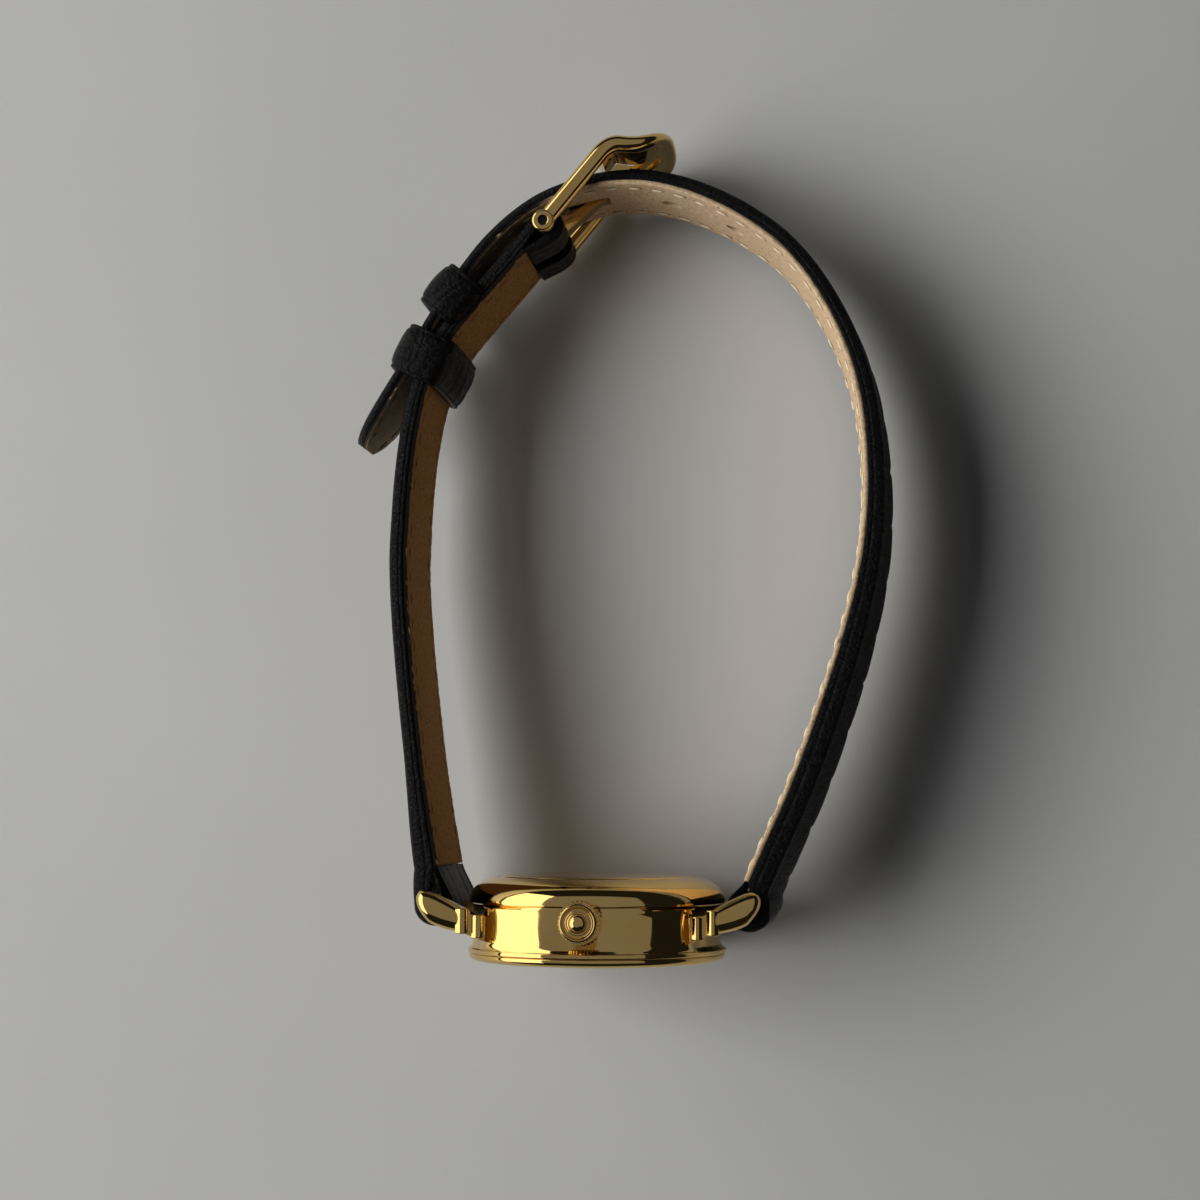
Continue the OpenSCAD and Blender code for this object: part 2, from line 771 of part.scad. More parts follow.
module quartz_can() {
    can_r = (board_y - plate_back) / 2;
    can_l = plate_scale * 4.2;
    lay() color(steel)
        translate([plate_scale * 2.4, plate_back + can_r, plate_scale * 4.6])
            rotate([0, 90, 0])
                cylinder(r = can_r, h = can_l, $fn = 48);
}

// Levels of the wheels behind the plate
centre_y = 0.15;
third_y = 0.6;
intermediate_y = -0.25;
wheel_t = 0.15;
end_gap = 0.05;

module arbor(at, y0, y1) {
    disc(at, arbor_r, y0, y1);
}

module rotor() {
    lay() color(steel)
        union() {
            arbor(rotor_at, plate_back - 0.4, bridge_y + 0.25);
            disc(rotor_at, 0.65, stator_y - 0.05, stator_y + 0.4);
            gear(rotor_at, rotor_pinion_teeth, rotor_module,
                gap_towards(rotor_dir, rotor_pinion_teeth),
                intermediate_y - 0.1, stator_y - 0.05);
        }
}

module intermediate_wheel() {
    lay() color(brass)
        union() {
            arbor(intermediate_at, plate_back - 0.4, bridge_y + 0.25);
            gear(intermediate_at, intermediate_teeth, rotor_module, rotor_dir,
                intermediate_y, intermediate_y + wheel_t);
            gear(intermediate_at, intermediate_pinion_teeth, wheel_module,
                gap_towards(intermediate_dir, intermediate_pinion_teeth),
                third_y - 0.1, third_y + wheel_t + 0.1);
        }
}

module third_wheel() {
    lay() color(brass)
        union() {
            arbor(third_at, plate_back - 0.4, bridge_y + 0.25);
            gear(third_at, third_teeth, wheel_module, intermediate_dir,
                third_y, third_y + wheel_t);
            gear(third_at, third_pinion_teeth, wheel_module,
                gap_towards(third_dir, third_pinion_teeth),
                centre_y - 0.1, centre_y + wheel_t + 0.1);
        }
}

module centre_wheel() {
    lay() color(brass)
        union() {
            disc(centre_at, 2 * arbor_r, minute_hand_y - 0.15, bridge_y + 0.25);
            gear(centre_at, centre_teeth, wheel_module, third_dir, centre_y, centre_y + wheel_t);
        }
}

pipe_r = 0.42;
module cannon_pinion() {
    lay() color(steel)
        difference() {
            union() {
                disc(centre_at, pipe_r, minute_hand_y + hand_t, -plate_front - 0.1);
                gear(centre_at, cannon_teeth, motion_module, minute_dir,
                    -plate_front - 0.3, -plate_front - 0.05);
            }
            disc(centre_at, 2 * arbor_r, -9, 9);
        }
}

module minute_wheel() {
    lay() color(brass)
        union() {
            arbor(minute_wheel_at, dial_back + end_gap, plate_back - end_gap);
            gear(minute_wheel_at, minute_wheel_teeth, motion_module,
                gap_towards(minute_dir, minute_wheel_teeth),
                -plate_front - 0.25, -plate_front - 0.1);
            gear(minute_wheel_at, minute_pinion_teeth, hour_module, minute_dir + 180,
                dial_back + 0.05, -plate_front - 0.2);
        }
}

hour_pipe_r = 0.75;
module hour_wheel() {
    lay() color(brass)
        difference() {
            union() {
                disc(centre_at, hour_pipe_r, hour_hand_y + hand_t, dial_back + 0.2);
                gear(centre_at, hour_wheel_teeth, hour_module,
                    gap_towards(minute_dir + 180, hour_wheel_teeth),
                    dial_back + 0.08, dial_back + 0.22);
            }
            disc(centre_at, pipe_r + run_gap, -9, 9);
        }
}

// Dial and hands

module dial() {
    lay() color("#efe9da")
        difference() {
            disc([0, 0], dial_r, dial_front, dial_back);
            disc([0, 0], hour_pipe_r + 0.1, -9, 9);
        }
}

// Clock angle from twelve, as a turn about the case axis
module at_clock_angle(deg) {
    rotate([0, deg, 0])
        children();
}

module hour_markers() {
    edge_r = crystal_r - 0.7;
    lay() color(gold)
        for (h = [0 : 11])
            at_clock_angle(h * 30)
                translate([-edge_r, dial_front - marker_h, -(h % 3 == 0 ? 0.28 : 0.17)])
                    cube([marker_len, marker_h, h % 3 == 0 ? 0.56 : 0.34]);
}

module hand(len, half_w, hole_r, y, deg) {
    hub_r = hole_r + 0.45;
    at_clock_angle(deg)
        difference() {
            union() {
                disc([0, 0], hub_r, y, y + hand_t);
                translate([0, y + hand_t, 0])
                    rotate([90, 0, 0])
                        linear_extrude(hand_t)
                            polygon([[-len, 0], [-0.62 * len, half_w], [0, half_w * 0.6],
                                [1.6, half_w * 0.5], [1.6, -half_w * 0.5],
                                [0, -half_w * 0.6], [-0.62 * len, -half_w]]);
            }
            disc([0, 0], hole_r, -9, 9);
        }
}

module hour_hand() {
    lay() color(gold)
        hand(hour_len, 0.42, pipe_r + run_gap, hour_hand_y, time_shown / 2);
}

module minute_hand() {
    lay() color(gold)
        hand(minute_len, 0.32, 2 * arbor_r, minute_hand_y, (time_shown % 60) * 6);
}

// Spring bars

bar_half = lug_gap / 2 - 0.25;
module spring_bar(side) {
    bore_l = plunger_travel + 1.6;
    lay() color(steel)
        translate([side * bar_x, bar_y, 0])
            difference() {
                cylinder(r = bar_tube_r, h = 2 * bar_half, center = true, $fn = 48);
                for (face = [-1, 1])
                    translate([0, 0, face * (bar_half - bore_l / 2 + 0.01)])
                        cylinder(r = plunger_r + run_gap, h = bore_l, center = true, $fn = 48);
            }
}

module plunger(side, face) {
    seated_l = 1.4;
    lay() color(steel)
        translate([side * bar_x, bar_y, face * (bar_half - seated_l)])
            mirror([0, 0, face > 0 ? 0 : 1])
                cylinder(r = plunger_r, h = seated_l + lug_gap / 2 - bar_half + plunger_tip,
                    $fn = 48);
}

module spring_bar_12() { spring_bar(-1); }
module spring_bar_6() { spring_bar(1); }
module plunger_12_near() { plunger(-1, 1); }
module plunger_12_far() { plunger(-1, -1); }
module plunger_6_near() { plunger(1, 1); }
module plunger_6_far() { plunger(1, -1); }

// Strap

// Places a section point: n out of the wrist side, z across
function placed(path, i, side, n, z) = let (p = path[i] + n * outward(path, i, side)) [p[0], p[1], z];

// Upper leather: flat on the lining, thin at its edges and crowned by its padding
function leather_ring(path, i, side, half, edge, crown) = [
    for (q = [
        [0, -1], [0.55, -1], [0.9, -0.96], [1, -0.86], [1, -0.6], [1, -0.3], [1, 0],
        [1, 0.3], [1, 0.6], [1, 0.86], [0.9, 0.96], [0.55, 1], [0, 1]
    ]) placed(path, i, side, edge * q[0] + (q[0] == 1 ? crown * pow(cos(90 * q[1]), 0.8) : 0),
        half * q[1])
];

function lining_ring(path, i, side, half, t) = [
    for (q = [[0, -1], [0, 1], [-0.8, 1], [-1, 0.93], [-1, -0.93], [-0.8, -1]])
        placed(path, i, side, t * q[0], half * q[1])
];

// Half width of each piece at a distance from its lug
short_taper = 60;
long_taper = 62;
function half_w(run, taper) = (strap_w_lug + (strap_w_tail - strap_w_lug) * min(1, run / taper)) / 2;
tip_l = 7;
function tip_round(run) = let (t = max(0, (run - long_len + tip_l) / tip_l))
    t <= 0 ? 1 : max(0.3, sqrt(1 - 0.91 * pow(t, 2.6)));
function long_half(run) = half_w(run, long_taper) * tip_round(run);
function short_half(run) = half_w(run, short_taper);

// Leather thickness along the long piece: padded by the lug, thin over the tail
pad_end = 60;
thin_from = 68;
thin_to = 92;
function long_edge(run) = padded_edge_t + (leather_t - padded_edge_t) * fade(run, 10, pad_end)
    + (tail_t - leather_t) * fade(run, thin_from, thin_to);
function long_crown(run) = padding_h * (1 - 0.75 * fade(run, 20, pad_end))
    * (1 - fade(run, thin_from, thin_to));
function long_lining(run) = lining_t + (tail_lining_t - lining_t) * fade(run, thin_from, thin_to);
function short_edge(run) = leather_t + (padded_edge_t - 0.2 - leather_t) * (1 - fade(run, 3, 14));
function short_crown(run) = 0.35 * (1 - fade(run, 8, 30));

lining_from_long = 2;
lining_from_short = 1;

// The tongue holes lie along the tail at even spacing, the second one in use
hole_run = 81.6;
function point_at(path, run, i = 0) = run_to(path, i + 1) >= run || i == len(path) - 2
    ? [i, (run - run_to(path, i)) / norm(path[i + 1] - path[i])]
    : point_at(path, run, i + 1);
function spot(path, run) = let (s = point_at(path, run))
    path[s[0]] + s[1] * (path[s[0] + 1] - path[s[0]]);

// Sets a piece on the chord of the path that spans its width
module on_path(path, run, w) {
    a = spot(path, run - w / 2);
    b = spot(path, run + w / 2);
    at = (a + b) / 2;
    d = b - a;
    translate([at[0], at[1], 0])
        rotate([0, 0, atan2(d[1], d[0])])
            children();
}

// Room for the tongue through its hole, with the buckle lifted and the tongue swung clear
tongue_room = 0.7;
tongue_swing = 13;
function turn2(p, a) = [p[0] * cos(a) - p[1] * sin(a), p[0] * sin(a) + p[1] * cos(a)];
module tongue_holes() {
    for (k = [-2 : 3])
        if (k != 0)
            on_path(long_path, hole_run + k * hole_pitch, hole_l)
                rotate([90, 0, 0])
                    linear_extrude(6, center = true)
                        slot_outline(hole_l * 0.6, hole_w);
    translate([buckle_at[0], buckle_at[1], 0])
        linear_extrude(tongue_w + 0.2, center = true)
            polygon([
                turn2([0, -tongue_room], tongue_dir), turn2([tongue_len, -tongue_room], tongue_dir),
                turn2([tongue_len, tongue_room], tongue_dir + tongue_swing),
                turn2([0, tongue_room], tongue_dir + tongue_swing)
            ]);
}

module slot_outline(l, w) {
    square([l - w, w], center = true);
    for (end = [-1, 1])
        translate([end * (l - w) / 2, 0])
            circle(r = w / 2, $fn = 24);
}

long_loop_r = 2.2;
long_loop_at = [bar_x + 0.35, bar_y - 0.35];
short_loop_r = 1.85;
short_loop_at = [-bar_x - 0.35, bar_y + 0.25];
module long_strap_leather() {
    lay() color(black_leather)
        difference() {
            union() {
                loft([for (i = [0 : len(long_path) - 1]) let (run = run_to(long_path, i))
                    leather_ring(long_path, i, 1, long_half(run), long_edge(run), long_crown(run))]);
                translate(long_loop_at)
                    cylinder(r = long_loop_r, h = strap_w_lug, center = true, $fn = 64);
            }
            translate([bar_x, bar_y, 0])
                cylinder(r = bar_tube_r + run_gap, h = strap_w_lug + 2, center = true, $fn = 48);
            tongue_holes();
        }
}

module long_strap_lining() {
    lay() color(suede)
        difference() {
            loft([for (i = [lining_from_long : len(long_path) - 1])
                let (run = run_to(long_path, i))
                lining_ring(long_path, i, 1, long_half(run), long_lining(run))]);
            translate(long_loop_at)
                cylinder(r = long_loop_r, h = strap_w_lug + 2, center = true, $fn = 64);
            tongue_holes();
        }
}

module tongue_slot() {
    slot_l = 4;
    translate([buckle_at[0], buckle_at[1], 0])
        rotate([0, 0, arm_dir])
            cube([2 * slot_l, 9, tongue_slot_w], center = true);
}

module short_strap_leather() {
    lay() color(black_leather)
        difference() {
            union() {
                loft([for (i = [0 : len(short_path) - 1]) let (run = run_to(short_path, i))
                    leather_ring(short_path, i, -1, short_half(run), short_edge(run),
                        short_crown(run))], true);
                translate(short_loop_at)
                    cylinder(r = short_loop_r, h = strap_w_lug, center = true, $fn = 64);
                translate([buckle_at[0], buckle_at[1], 0])
                    cylinder(r = strap_eye_r, h = strap_w_tail, center = true, $fn = 64);
            }
            translate([-bar_x, bar_y, 0])
                cylinder(r = bar_tube_r + run_gap, h = strap_w_lug + 2, center = true, $fn = 48);
            translate([buckle_at[0], buckle_at[1], 0])
                cylinder(r = buckle_bar_r + run_gap, h = strap_w_tail + 2, center = true, $fn = 48);
            tongue_slot();
            on_path(short_path, fixed_keeper_run, keeper_w)
                translate([-keeper_w / 2 - seat_gap, -0.1, -strap_w_lug])
                    cube([keeper_w + 2 * seat_gap, tab_n + keeper_t + 0.1 + seat_gap,
                        2 * strap_w_lug]);
        }
}

module short_strap_lining() {
    lay() color(suede)
        difference() {
            loft([for (i = [lining_from_short : len(short_path) - 4])
                let (run = run_to(short_path, i))
                lining_ring(short_path, i, -1, short_half(run), lining_t)], true);
            translate(short_loop_at)
                cylinder(r = short_loop_r, h = strap_w_lug + 2, center = true, $fn = 64);
        }
}

// Keepers: a band of leather bent round the strap

module keeper(run, n0, n1, half) {
    on_path(short_path, run, keeper_w)
        rotate([90, 0, 90])
            linear_extrude(keeper_w, center = true)
                difference() {
                    keeper_outline(n0 - keeper_t, n1 + keeper_t, half + keeper_t);
                    keeper_outline(n0, n1, half);
                }
}

module keeper_outline(n0, n1, half) {
    corner = 0.4;
    translate([(n0 + n1) / 2, 0])
        square([n1 - n0, 2 * half - 2 * corner], center = true);
    translate([(n0 + n1) / 2, 0])
        square([n1 - n0 - 2 * corner, 2 * half], center = true);
    for (n = [n0 + corner, n1 - corner], z = [-1, 1])
        translate([n, z * (half - corner)])
            circle(r = corner, $fn = 24);
}

// How far the tail's seam stands off the short piece's seam under each keeper
free_rise = 2.3;
fixed_rise = 3;
// Height of the fixed keeper's tab, which is tucked under the short piece's leather
tab_n = 0.12;
bend_room = 0.12;
fixed_keeper_run = 55.4;
free_keeper_run = fixed_keeper_run - keeper_w - keeper_gap;
module free_keeper() {
    lay() color(black_leather)
        keeper(free_keeper_run, -lining_t - bend_room - keeper_slack,
            free_rise + tail_t + keeper_slack, strap_w_tail / 2 + 0.35 + keeper_slack);
}

module fixed_keeper() {
    lay() color(black_leather)
        keeper(fixed_keeper_run, tab_n + keeper_t, fixed_rise + tail_t + keeper_slack,
            strap_w_tail / 2 + 0.15 + keeper_slack);
}

// Buckle

// Middle line of the frame from one eye round the bow, as [x, y, z]
bow_steps = 12;
function front(t) = pow(cos(90 * t), 2);
function bow_point(t) = let (
    run = bow_len * cos(90 * t) - (bow_w - arm_t) / 2 * front(t),
    sag = bow_dip * sin(180 * cos(90 * t)),
    p = along(along(crank_at, bow_dir, run), bow_dir - 90, sag)
) [p[0], p[1], arm_z * (t < 0 ? -1 : 1) * pow(abs(sin(90 * t)), 0.72)];
frame_line = concat(
    [for (t = [0, 0.5]) let (p = buckle_at + t * (crank_at - buckle_at)) [p[0], p[1], arm_z]],
    [for (k = [bow_steps : -1 : -bow_steps]) bow_point(k / bow_steps)],
    [for (t = [0.5, 0]) let (p = buckle_at + t * (crank_at - buckle_at)) [p[0], p[1], -arm_z]]
);

function frame_ring(i) = let (
    last = len(frame_line) - 1,
    a = frame_line[max(i - 1, 0)],
    b = frame_line[min(i + 1, last)],
    fwd = (b - a) / norm(b - a),
    on_arm = i < 2 || i > last - 2,
    share = on_arm ? 0 : front((i - 2 - bow_steps) / bow_steps),
    up_dir = (on_arm ? arm_dir : bow_dir) + 90,
    up = [cos(up_dir), sin(up_dir), 0],
    across = cross(fwd, up) / norm(cross(fwd, up)),
    lift = cross(across, fwd)
) [
    for (k = [0 : 11]) let (
        c = cos(30 * k),
        s = sin(30 * k),
        wide = (arm_t + (bow_w - arm_t) * share) / 2 * sign(c) * pow(abs(c), 0.7),
        high = (arm_d + (bow_d - arm_d) * share) / 2 * sign(s) * pow(abs(s), 0.7)
    ) frame_line[i] + wide * across + high * lift
];

module buckle_frame() {
    lay() color(gold)
        difference() {
            union() {
                loft([for (i = [0 : len(frame_line) - 1]) frame_ring(i)]);
                for (face = [-1, 1])
                    translate([buckle_at[0], buckle_at[1], face * arm_z])
                        cylinder(r = eye_r, h = arm_t, center = true, $fn = 48);
            }
            translate([buckle_at[0], buckle_at[1], 0])
                cylinder(r = buckle_bar_r + run_gap, h = buckle_w + 2, center = true, $fn = 48);
            tongue_rest();
        }
}

// Dip in the bow that takes the tongue's tip
module tongue_rest() {
    translate([buckle_at[0], buckle_at[1], 0])
        rotate([0, 0, tongue_dir])
            translate([arm_len, -tongue_t / 2 - 0.12, -tongue_w / 2 - 0.2])
                cube([8, 4, tongue_w + 0.4]);
}

module buckle_bar() {
    lay() color(steel)
        translate([buckle_at[0], buckle_at[1], 0])
            cylinder(r = buckle_bar_r, h = buckle_w - 2 * pin_recess, center = true, $fn = 48);
}

module buckle_tongue() {
    tip_w = 0.9;
    tip_t = 0.55;
    root_t = 1.1;
    lay() color(gold)
        translate([buckle_at[0], buckle_at[1], 0])
            rotate([0, 0, tongue_dir])
                difference() {
                    union() {
                        cylinder(r = tongue_eye_r, h = tongue_w, center = true, $fn = 48);
                        intersection() {
                            linear_extrude(tongue_w, center = true)
                                polygon([[0, -root_t / 2], [5, -tongue_t / 2],
                                    [tongue_len, -tongue_t / 2], [tongue_len, tip_t - tongue_t / 2],
                                    [5, tongue_t / 2], [0, root_t / 2]]);
                            rotate([90, 0, 0])
                                linear_extrude(4, center = true)
                                    polygon([[0, -tongue_w / 2], [tongue_len - 1, -tip_w / 2],
                                        [tongue_len, -tip_w / 4], [tongue_len, tip_w / 4],
                                        [tongue_len - 1, tip_w / 2], [0, tongue_w / 2]]);
                        }
                    }
                    cylinder(r = buckle_bar_r + run_gap, h = 2 * tongue_w, center = true, $fn = 48);
                }
}

case_middle();
bezel();
crystal();
crystal_gasket();
caseback();
caseback_gasket();
crown_tube();
crown();
crown_gasket();
setting_stem();
sliding_pinion();
setting_lever();
movement_ring();
main_plate();
train_bridge();
bridge_screws();
battery();
battery_clamp();
coil();
stator();
circuit_board();
quartz_can();
rotor();
intermediate_wheel();
third_wheel();
centre_wheel();
cannon_pinion();
minute_wheel();
hour_wheel();
dial();
hour_markers();
hour_hand();
minute_hand();
spring_bar_12();
spring_bar_6();
plunger_12_near();
plunger_12_far();
plunger_6_near();
plunger_6_far();
short_strap_leather();
short_strap_lining();
long_strap_leather();
long_strap_lining();
fixed_keeper();
free_keeper();
buckle_frame();
buckle_bar();
buckle_tongue();
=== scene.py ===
import math
from types import SimpleNamespace

import bmesh
import bpy
import numpy as np
from mathutils import Matrix, Vector


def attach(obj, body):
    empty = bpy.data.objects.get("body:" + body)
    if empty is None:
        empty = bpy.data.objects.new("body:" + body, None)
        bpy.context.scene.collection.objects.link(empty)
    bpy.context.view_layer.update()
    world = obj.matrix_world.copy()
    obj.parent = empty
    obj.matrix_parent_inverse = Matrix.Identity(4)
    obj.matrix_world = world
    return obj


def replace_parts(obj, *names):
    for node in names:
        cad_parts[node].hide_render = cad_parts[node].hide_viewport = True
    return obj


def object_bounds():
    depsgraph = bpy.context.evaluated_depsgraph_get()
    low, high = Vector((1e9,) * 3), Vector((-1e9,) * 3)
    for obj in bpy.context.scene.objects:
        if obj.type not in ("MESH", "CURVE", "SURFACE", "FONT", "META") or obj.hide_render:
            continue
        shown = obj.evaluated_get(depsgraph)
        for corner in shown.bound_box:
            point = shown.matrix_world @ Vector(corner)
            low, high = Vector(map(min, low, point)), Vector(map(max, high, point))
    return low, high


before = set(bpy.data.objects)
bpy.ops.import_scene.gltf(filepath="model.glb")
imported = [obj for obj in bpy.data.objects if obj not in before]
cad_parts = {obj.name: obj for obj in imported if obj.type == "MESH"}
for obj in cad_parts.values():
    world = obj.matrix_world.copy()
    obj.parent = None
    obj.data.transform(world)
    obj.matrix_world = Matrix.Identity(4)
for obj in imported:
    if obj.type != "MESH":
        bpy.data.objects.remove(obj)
cad_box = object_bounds()
MM = 0.001


# ---- Table and window light
# The watch lies on its side on a pale matt table. A wide window stands low on the left and a
# pale ceiling closes the room above, so the loop throws soft shadows to the right.

def linear(code):
    """sRGB hex colour as linear RGBA"""
    parts = [int(code[i:i + 2], 16) / 255 for i in (1, 3, 5)]
    return [c / 12.92 if c <= 0.04045 else ((c + 0.055) / 1.055) ** 2.4 for c in parts] + [1]


def feed(node, inputs):
    """Sets a node's inputs. Each is a plain value, or the socket or node that feeds it."""
    for name, value in inputs.items():
        if isinstance(value, bpy.types.Node):
            value = value.outputs[0]
        if isinstance(value, bpy.types.NodeSocket):
            node.id_data.links.new(value, node.inputs[name])
        else:
            node.inputs[name].default_value = value


def add(tree, kind, inputs={}, stops=(), **settings):
    """Adds a node with its settings, its links and the stops of its colour ramp"""
    node = tree.nodes.new(kind)
    for name, value in settings.items():
        setattr(node, name, value)
    feed(node, inputs)
    for i, (place, code) in enumerate(stops):
        ramp = node.color_ramp.elements
        stop = ramp[i] if i < len(ramp) else ramp.new(place)
        stop.position = place
        stop.color = linear(code)
    return node


def new_finish(name, **shader_values):
    """Starts a material, with the values that are the same all over it"""
    material = bpy.data.materials.new(name)
    material.use_nodes = True
    shader = material.node_tree.nodes["Principled BSDF"]
    for socket, value in shader_values.items():
        shader.inputs[socket.replace("_", " ")].default_value = value
    return material, material.node_tree, shader


def add_object(name, data, material=None):
    """Adds a mesh, light or camera to the scene"""
    piece = bpy.data.objects.new(name, data)
    bpy.context.scene.collection.objects.link(piece)
    if material:
        data.materials.append(material)
    return piece


# Matt laminate: near white, with a barely visible mottle (70 mm) and a fine grit (0.3 mm)
table_finish, tree, shader = new_finish("matt_white_laminate", Roughness=0.62)
place = add(tree, "ShaderNodeTexCoord").outputs["Object"]
mottle = add(tree, "ShaderNodeTexNoise", {"Vector": place, "Scale": 14, "Detail": 4})
tint = add(tree, "ShaderNodeValToRGB", {
    "Fac": mottle}, stops=[(0.35, "#bbbbb9"), (0.65, "#c0c0be")])
grit = add(tree, "ShaderNodeTexNoise", {"Vector": place, "Scale": 3500, "Detail": 2})
rise = add(tree, "ShaderNodeBump", {"Height": grit, "Strength": 0.12, "Distance": 0.1 * MM})
feed(shader, {"Base Color": tint, "Normal": rise})

table_half = 0.6
table_z = cad_box[0].z - 0.02 * MM
table_mesh = bpy.data.meshes.new("table")
table_mesh.from_pydata(
    [(x * table_half, y * table_half, table_z)
     for x, y in ((-1, -1), (1, -1), (1, 1), (-1, 1))], [], [(0, 1, 2, 3)])
add_object("table", table_mesh, table_finish)

world = bpy.data.worlds.new("dim_room")
bpy.context.scene.world = world
world.use_nodes = True
feed(world.node_tree.nodes["Background"], {"Color": linear("#f4f4ff"), "Strength": 0.015})


def add_panel(name, place, aim, width, height, watts, code, mirrored=True, lighting=True):
    """Adds a lit panel that shows in mirrors, lights matt faces, or both"""
    light = bpy.data.lights.new(name, "AREA")
    light.shape = "RECTANGLE"
    light.size = width
    light.size_y = height
    light.energy = watts
    light.color = linear(code)[:3]
    lamp = add_object(name, light)
    lamp.location = place
    lamp.rotation_euler = (Vector(aim) - Vector(place)).to_track_quat("-Z", "Y").to_euler()
    lamp.visible_glossy = mirrored
    lamp.visible_diffuse = lighting


add_panel("window", (-0.63, 0.2, 0.29), (0.002, 0.2, 0), 1.24, 0.56, 4.2, "#fffdf4")
add_panel("sky_through_window", (-0.5, 0.03, 0.47), (0.002, 0.03, 0), 0.5, 0.4, 3.6,
          "#fdfdff", mirrored=False)
add_panel("ceiling", (0.04, 0.32, 0.7), (0.04, 0.32, 0), 1.52, 1.35, 1.43, "#f6f6ff",
          lighting=False)

# Focal length in pixels and camera place, found from edges that point at it
focal_px, photo_px, film_mm = 2078.03, 1200, 36
view = bpy.data.cameras.new("photograph_view")
view.sensor_width = film_mm
view.lens = film_mm * focal_px / photo_px
view.clip_start = 10 * MM
camera = add_object("photograph_view", view)
camera.location = (0.02192, 0.017623, 0.188152)
camera.rotation_euler = (0.0384, 0.1143, -0.0041)
bpy.context.scene.camera = camera
bpy.context.scene.view_settings.view_transform = "Standard"


# ---- Gold-plated case
# Turned and pressed brass, polished on a wheel and plated with pale gold: a waisted band with
# four soldered lugs, a slim bezel over it, and a snap-on back with one turned ring.

# Polished gold plate: pale yellow mirror, with rubbed haze (4 mm) and a faint ripple (1 mm)
gold, tree, shader = new_finish("polished_gold_plate", Metallic=1.0)
place = add(tree, "ShaderNodeTexCoord").outputs["Object"]
haze = add(tree, "ShaderNodeTexNoise", {"Vector": place, "Scale": 260, "Detail": 4})
tone = add(tree, "ShaderNodeValToRGB", {
    "Fac": haze}, stops=[(0.3, "#dfba70"), (0.7, "#e9c67d")])
rub = add(tree, "ShaderNodeMapRange", {
    "Value": haze, "From Min": 0.3, "From Max": 0.75, "To Min": 0.035, "To Max": 0.1})
ripple = add(tree, "ShaderNodeTexNoise", {"Vector": place, "Scale": 900, "Detail": 1})
rise = add(tree, "ShaderNodeBump", {"Height": ripple, "Strength": 0.03, "Distance": 0.1 * MM})
feed(shader, {"Base Color": tone, "Roughness": rub, "Normal": rise})

# Case frame, in mm: x towards six o'clock, y towards the wrist, z towards the crown
lean = math.radians(3.6676)
back_y = 3.6
to_frame = (Matrix.Scale(MM, 4) @ Matrix.Rotation(-lean, 4, "X")
            @ Matrix.Translation((0, -back_y, 0)))
y_to_z = Matrix.Rotation(math.pi / 2, 4, "X")


def dress(material, *names):
    """Gives CAD nodes that keep their own shape their finish"""
    for name in names:
        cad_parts[name].material_slots[0].material = material


def settled(piece):
    """Turns a piece's modifiers into plain mesh"""
    graph = bpy.context.evaluated_depsgraph_get()
    mesh = bpy.data.meshes.new_from_object(
        piece.evaluated_get(graph), preserve_all_data_layers=True, depsgraph=graph)
    piece.modifiers.clear()
    piece.data = mesh
    return piece


def spin(made, profile, steps=192, place=Matrix()):
    """Adds a closed turned form about the y axis, from (radius, height) points"""
    turn = [2 * math.pi * k / steps for k in range(steps)]
    rows = []
    for r, h in profile:
        row = [made.verts.new(place @ Vector((r * math.cos(a), h, r * math.sin(a))))
               for a in (turn if r else [0])]
        rows.append(row * (steps // len(row)))
    for low, high in zip(rows, rows[1:] + rows[:1]):
        for k in range(steps):
            n = (k + 1) % steps
            corners = list(dict.fromkeys((low[k], low[n], high[n], high[k])))
            if len(corners) > 2:
                made.faces.new(corners)


def skin(made, rows):
    """Adds a solid through rows of points, with a cap at each end, and gives the caps"""
    rows = [[made.verts.new(point) for point in row] for row in rows]
    for low, high in zip(rows, rows[1:]):
        for k in range(len(low)):
            made.faces.new((low[k - 1], low[k], high[k], high[k - 1]))
    return [made.faces.new(rows[0]), made.faces.new(rows[-1])]


def eased(points, radius):
    """A closed outline with its corners rounded, apart from those on the axis"""
    out = []
    for i, point in enumerate(points):
        p = Vector(point)
        if p.x == 0:
            out.append(tuple(p))
            continue
        a, b = Vector(points[i - 1]) - p, Vector(points[(i + 1) % len(points)]) - p
        a = a.normalized() * min(radius, a.length / 2.2)
        b = b.normalized() * min(radius, b.length / 2.2)
        out += [tuple(p + (1 - t) ** 2 * a + t * t * b) for t in (0, 0.3, 0.7, 1)]
    return out


def close_mesh(made, mesh):
    """Writes a mesh, its faces turned outwards and the many-sided ones split"""
    bmesh.ops.recalc_face_normals(made, faces=made.faces)
    bmesh.ops.triangulate(made, faces=[f for f in made.faces if len(f.verts) > 4])
    made.to_mesh(mesh)
    made.free()


def start_piece(name, made):
    """Ends a mesh in the making as a piece or a tool, still in the case frame"""
    mesh = bpy.data.meshes.new(name)
    close_mesh(made, mesh)
    return add_object(name, mesh, gold)


def reopened(piece):
    """Takes a piece back into the making, to add to it"""
    made = bmesh.new()
    made.from_mesh(piece.data)
    bpy.data.objects.remove(piece)
    return made


def turned(name, profile, *where):
    """A piece or a tool turned on a lathe"""
    made = bmesh.new()
    spin(made, profile, *where)
    return start_piece(name, made)


def tool_box(name, at, angle, middle, size):
    """A box turned in the plane of the loop, to cut a slot with"""
    made = bmesh.new()
    bmesh.ops.create_cube(made, size=1, matrix=(
        Matrix.Translation((*at, 0)) @ Matrix.Rotation(angle, 4, "Z")
        @ Matrix.Translation(middle) @ Matrix.Diagonal((*size, 1))))
    return start_piece(name, made)


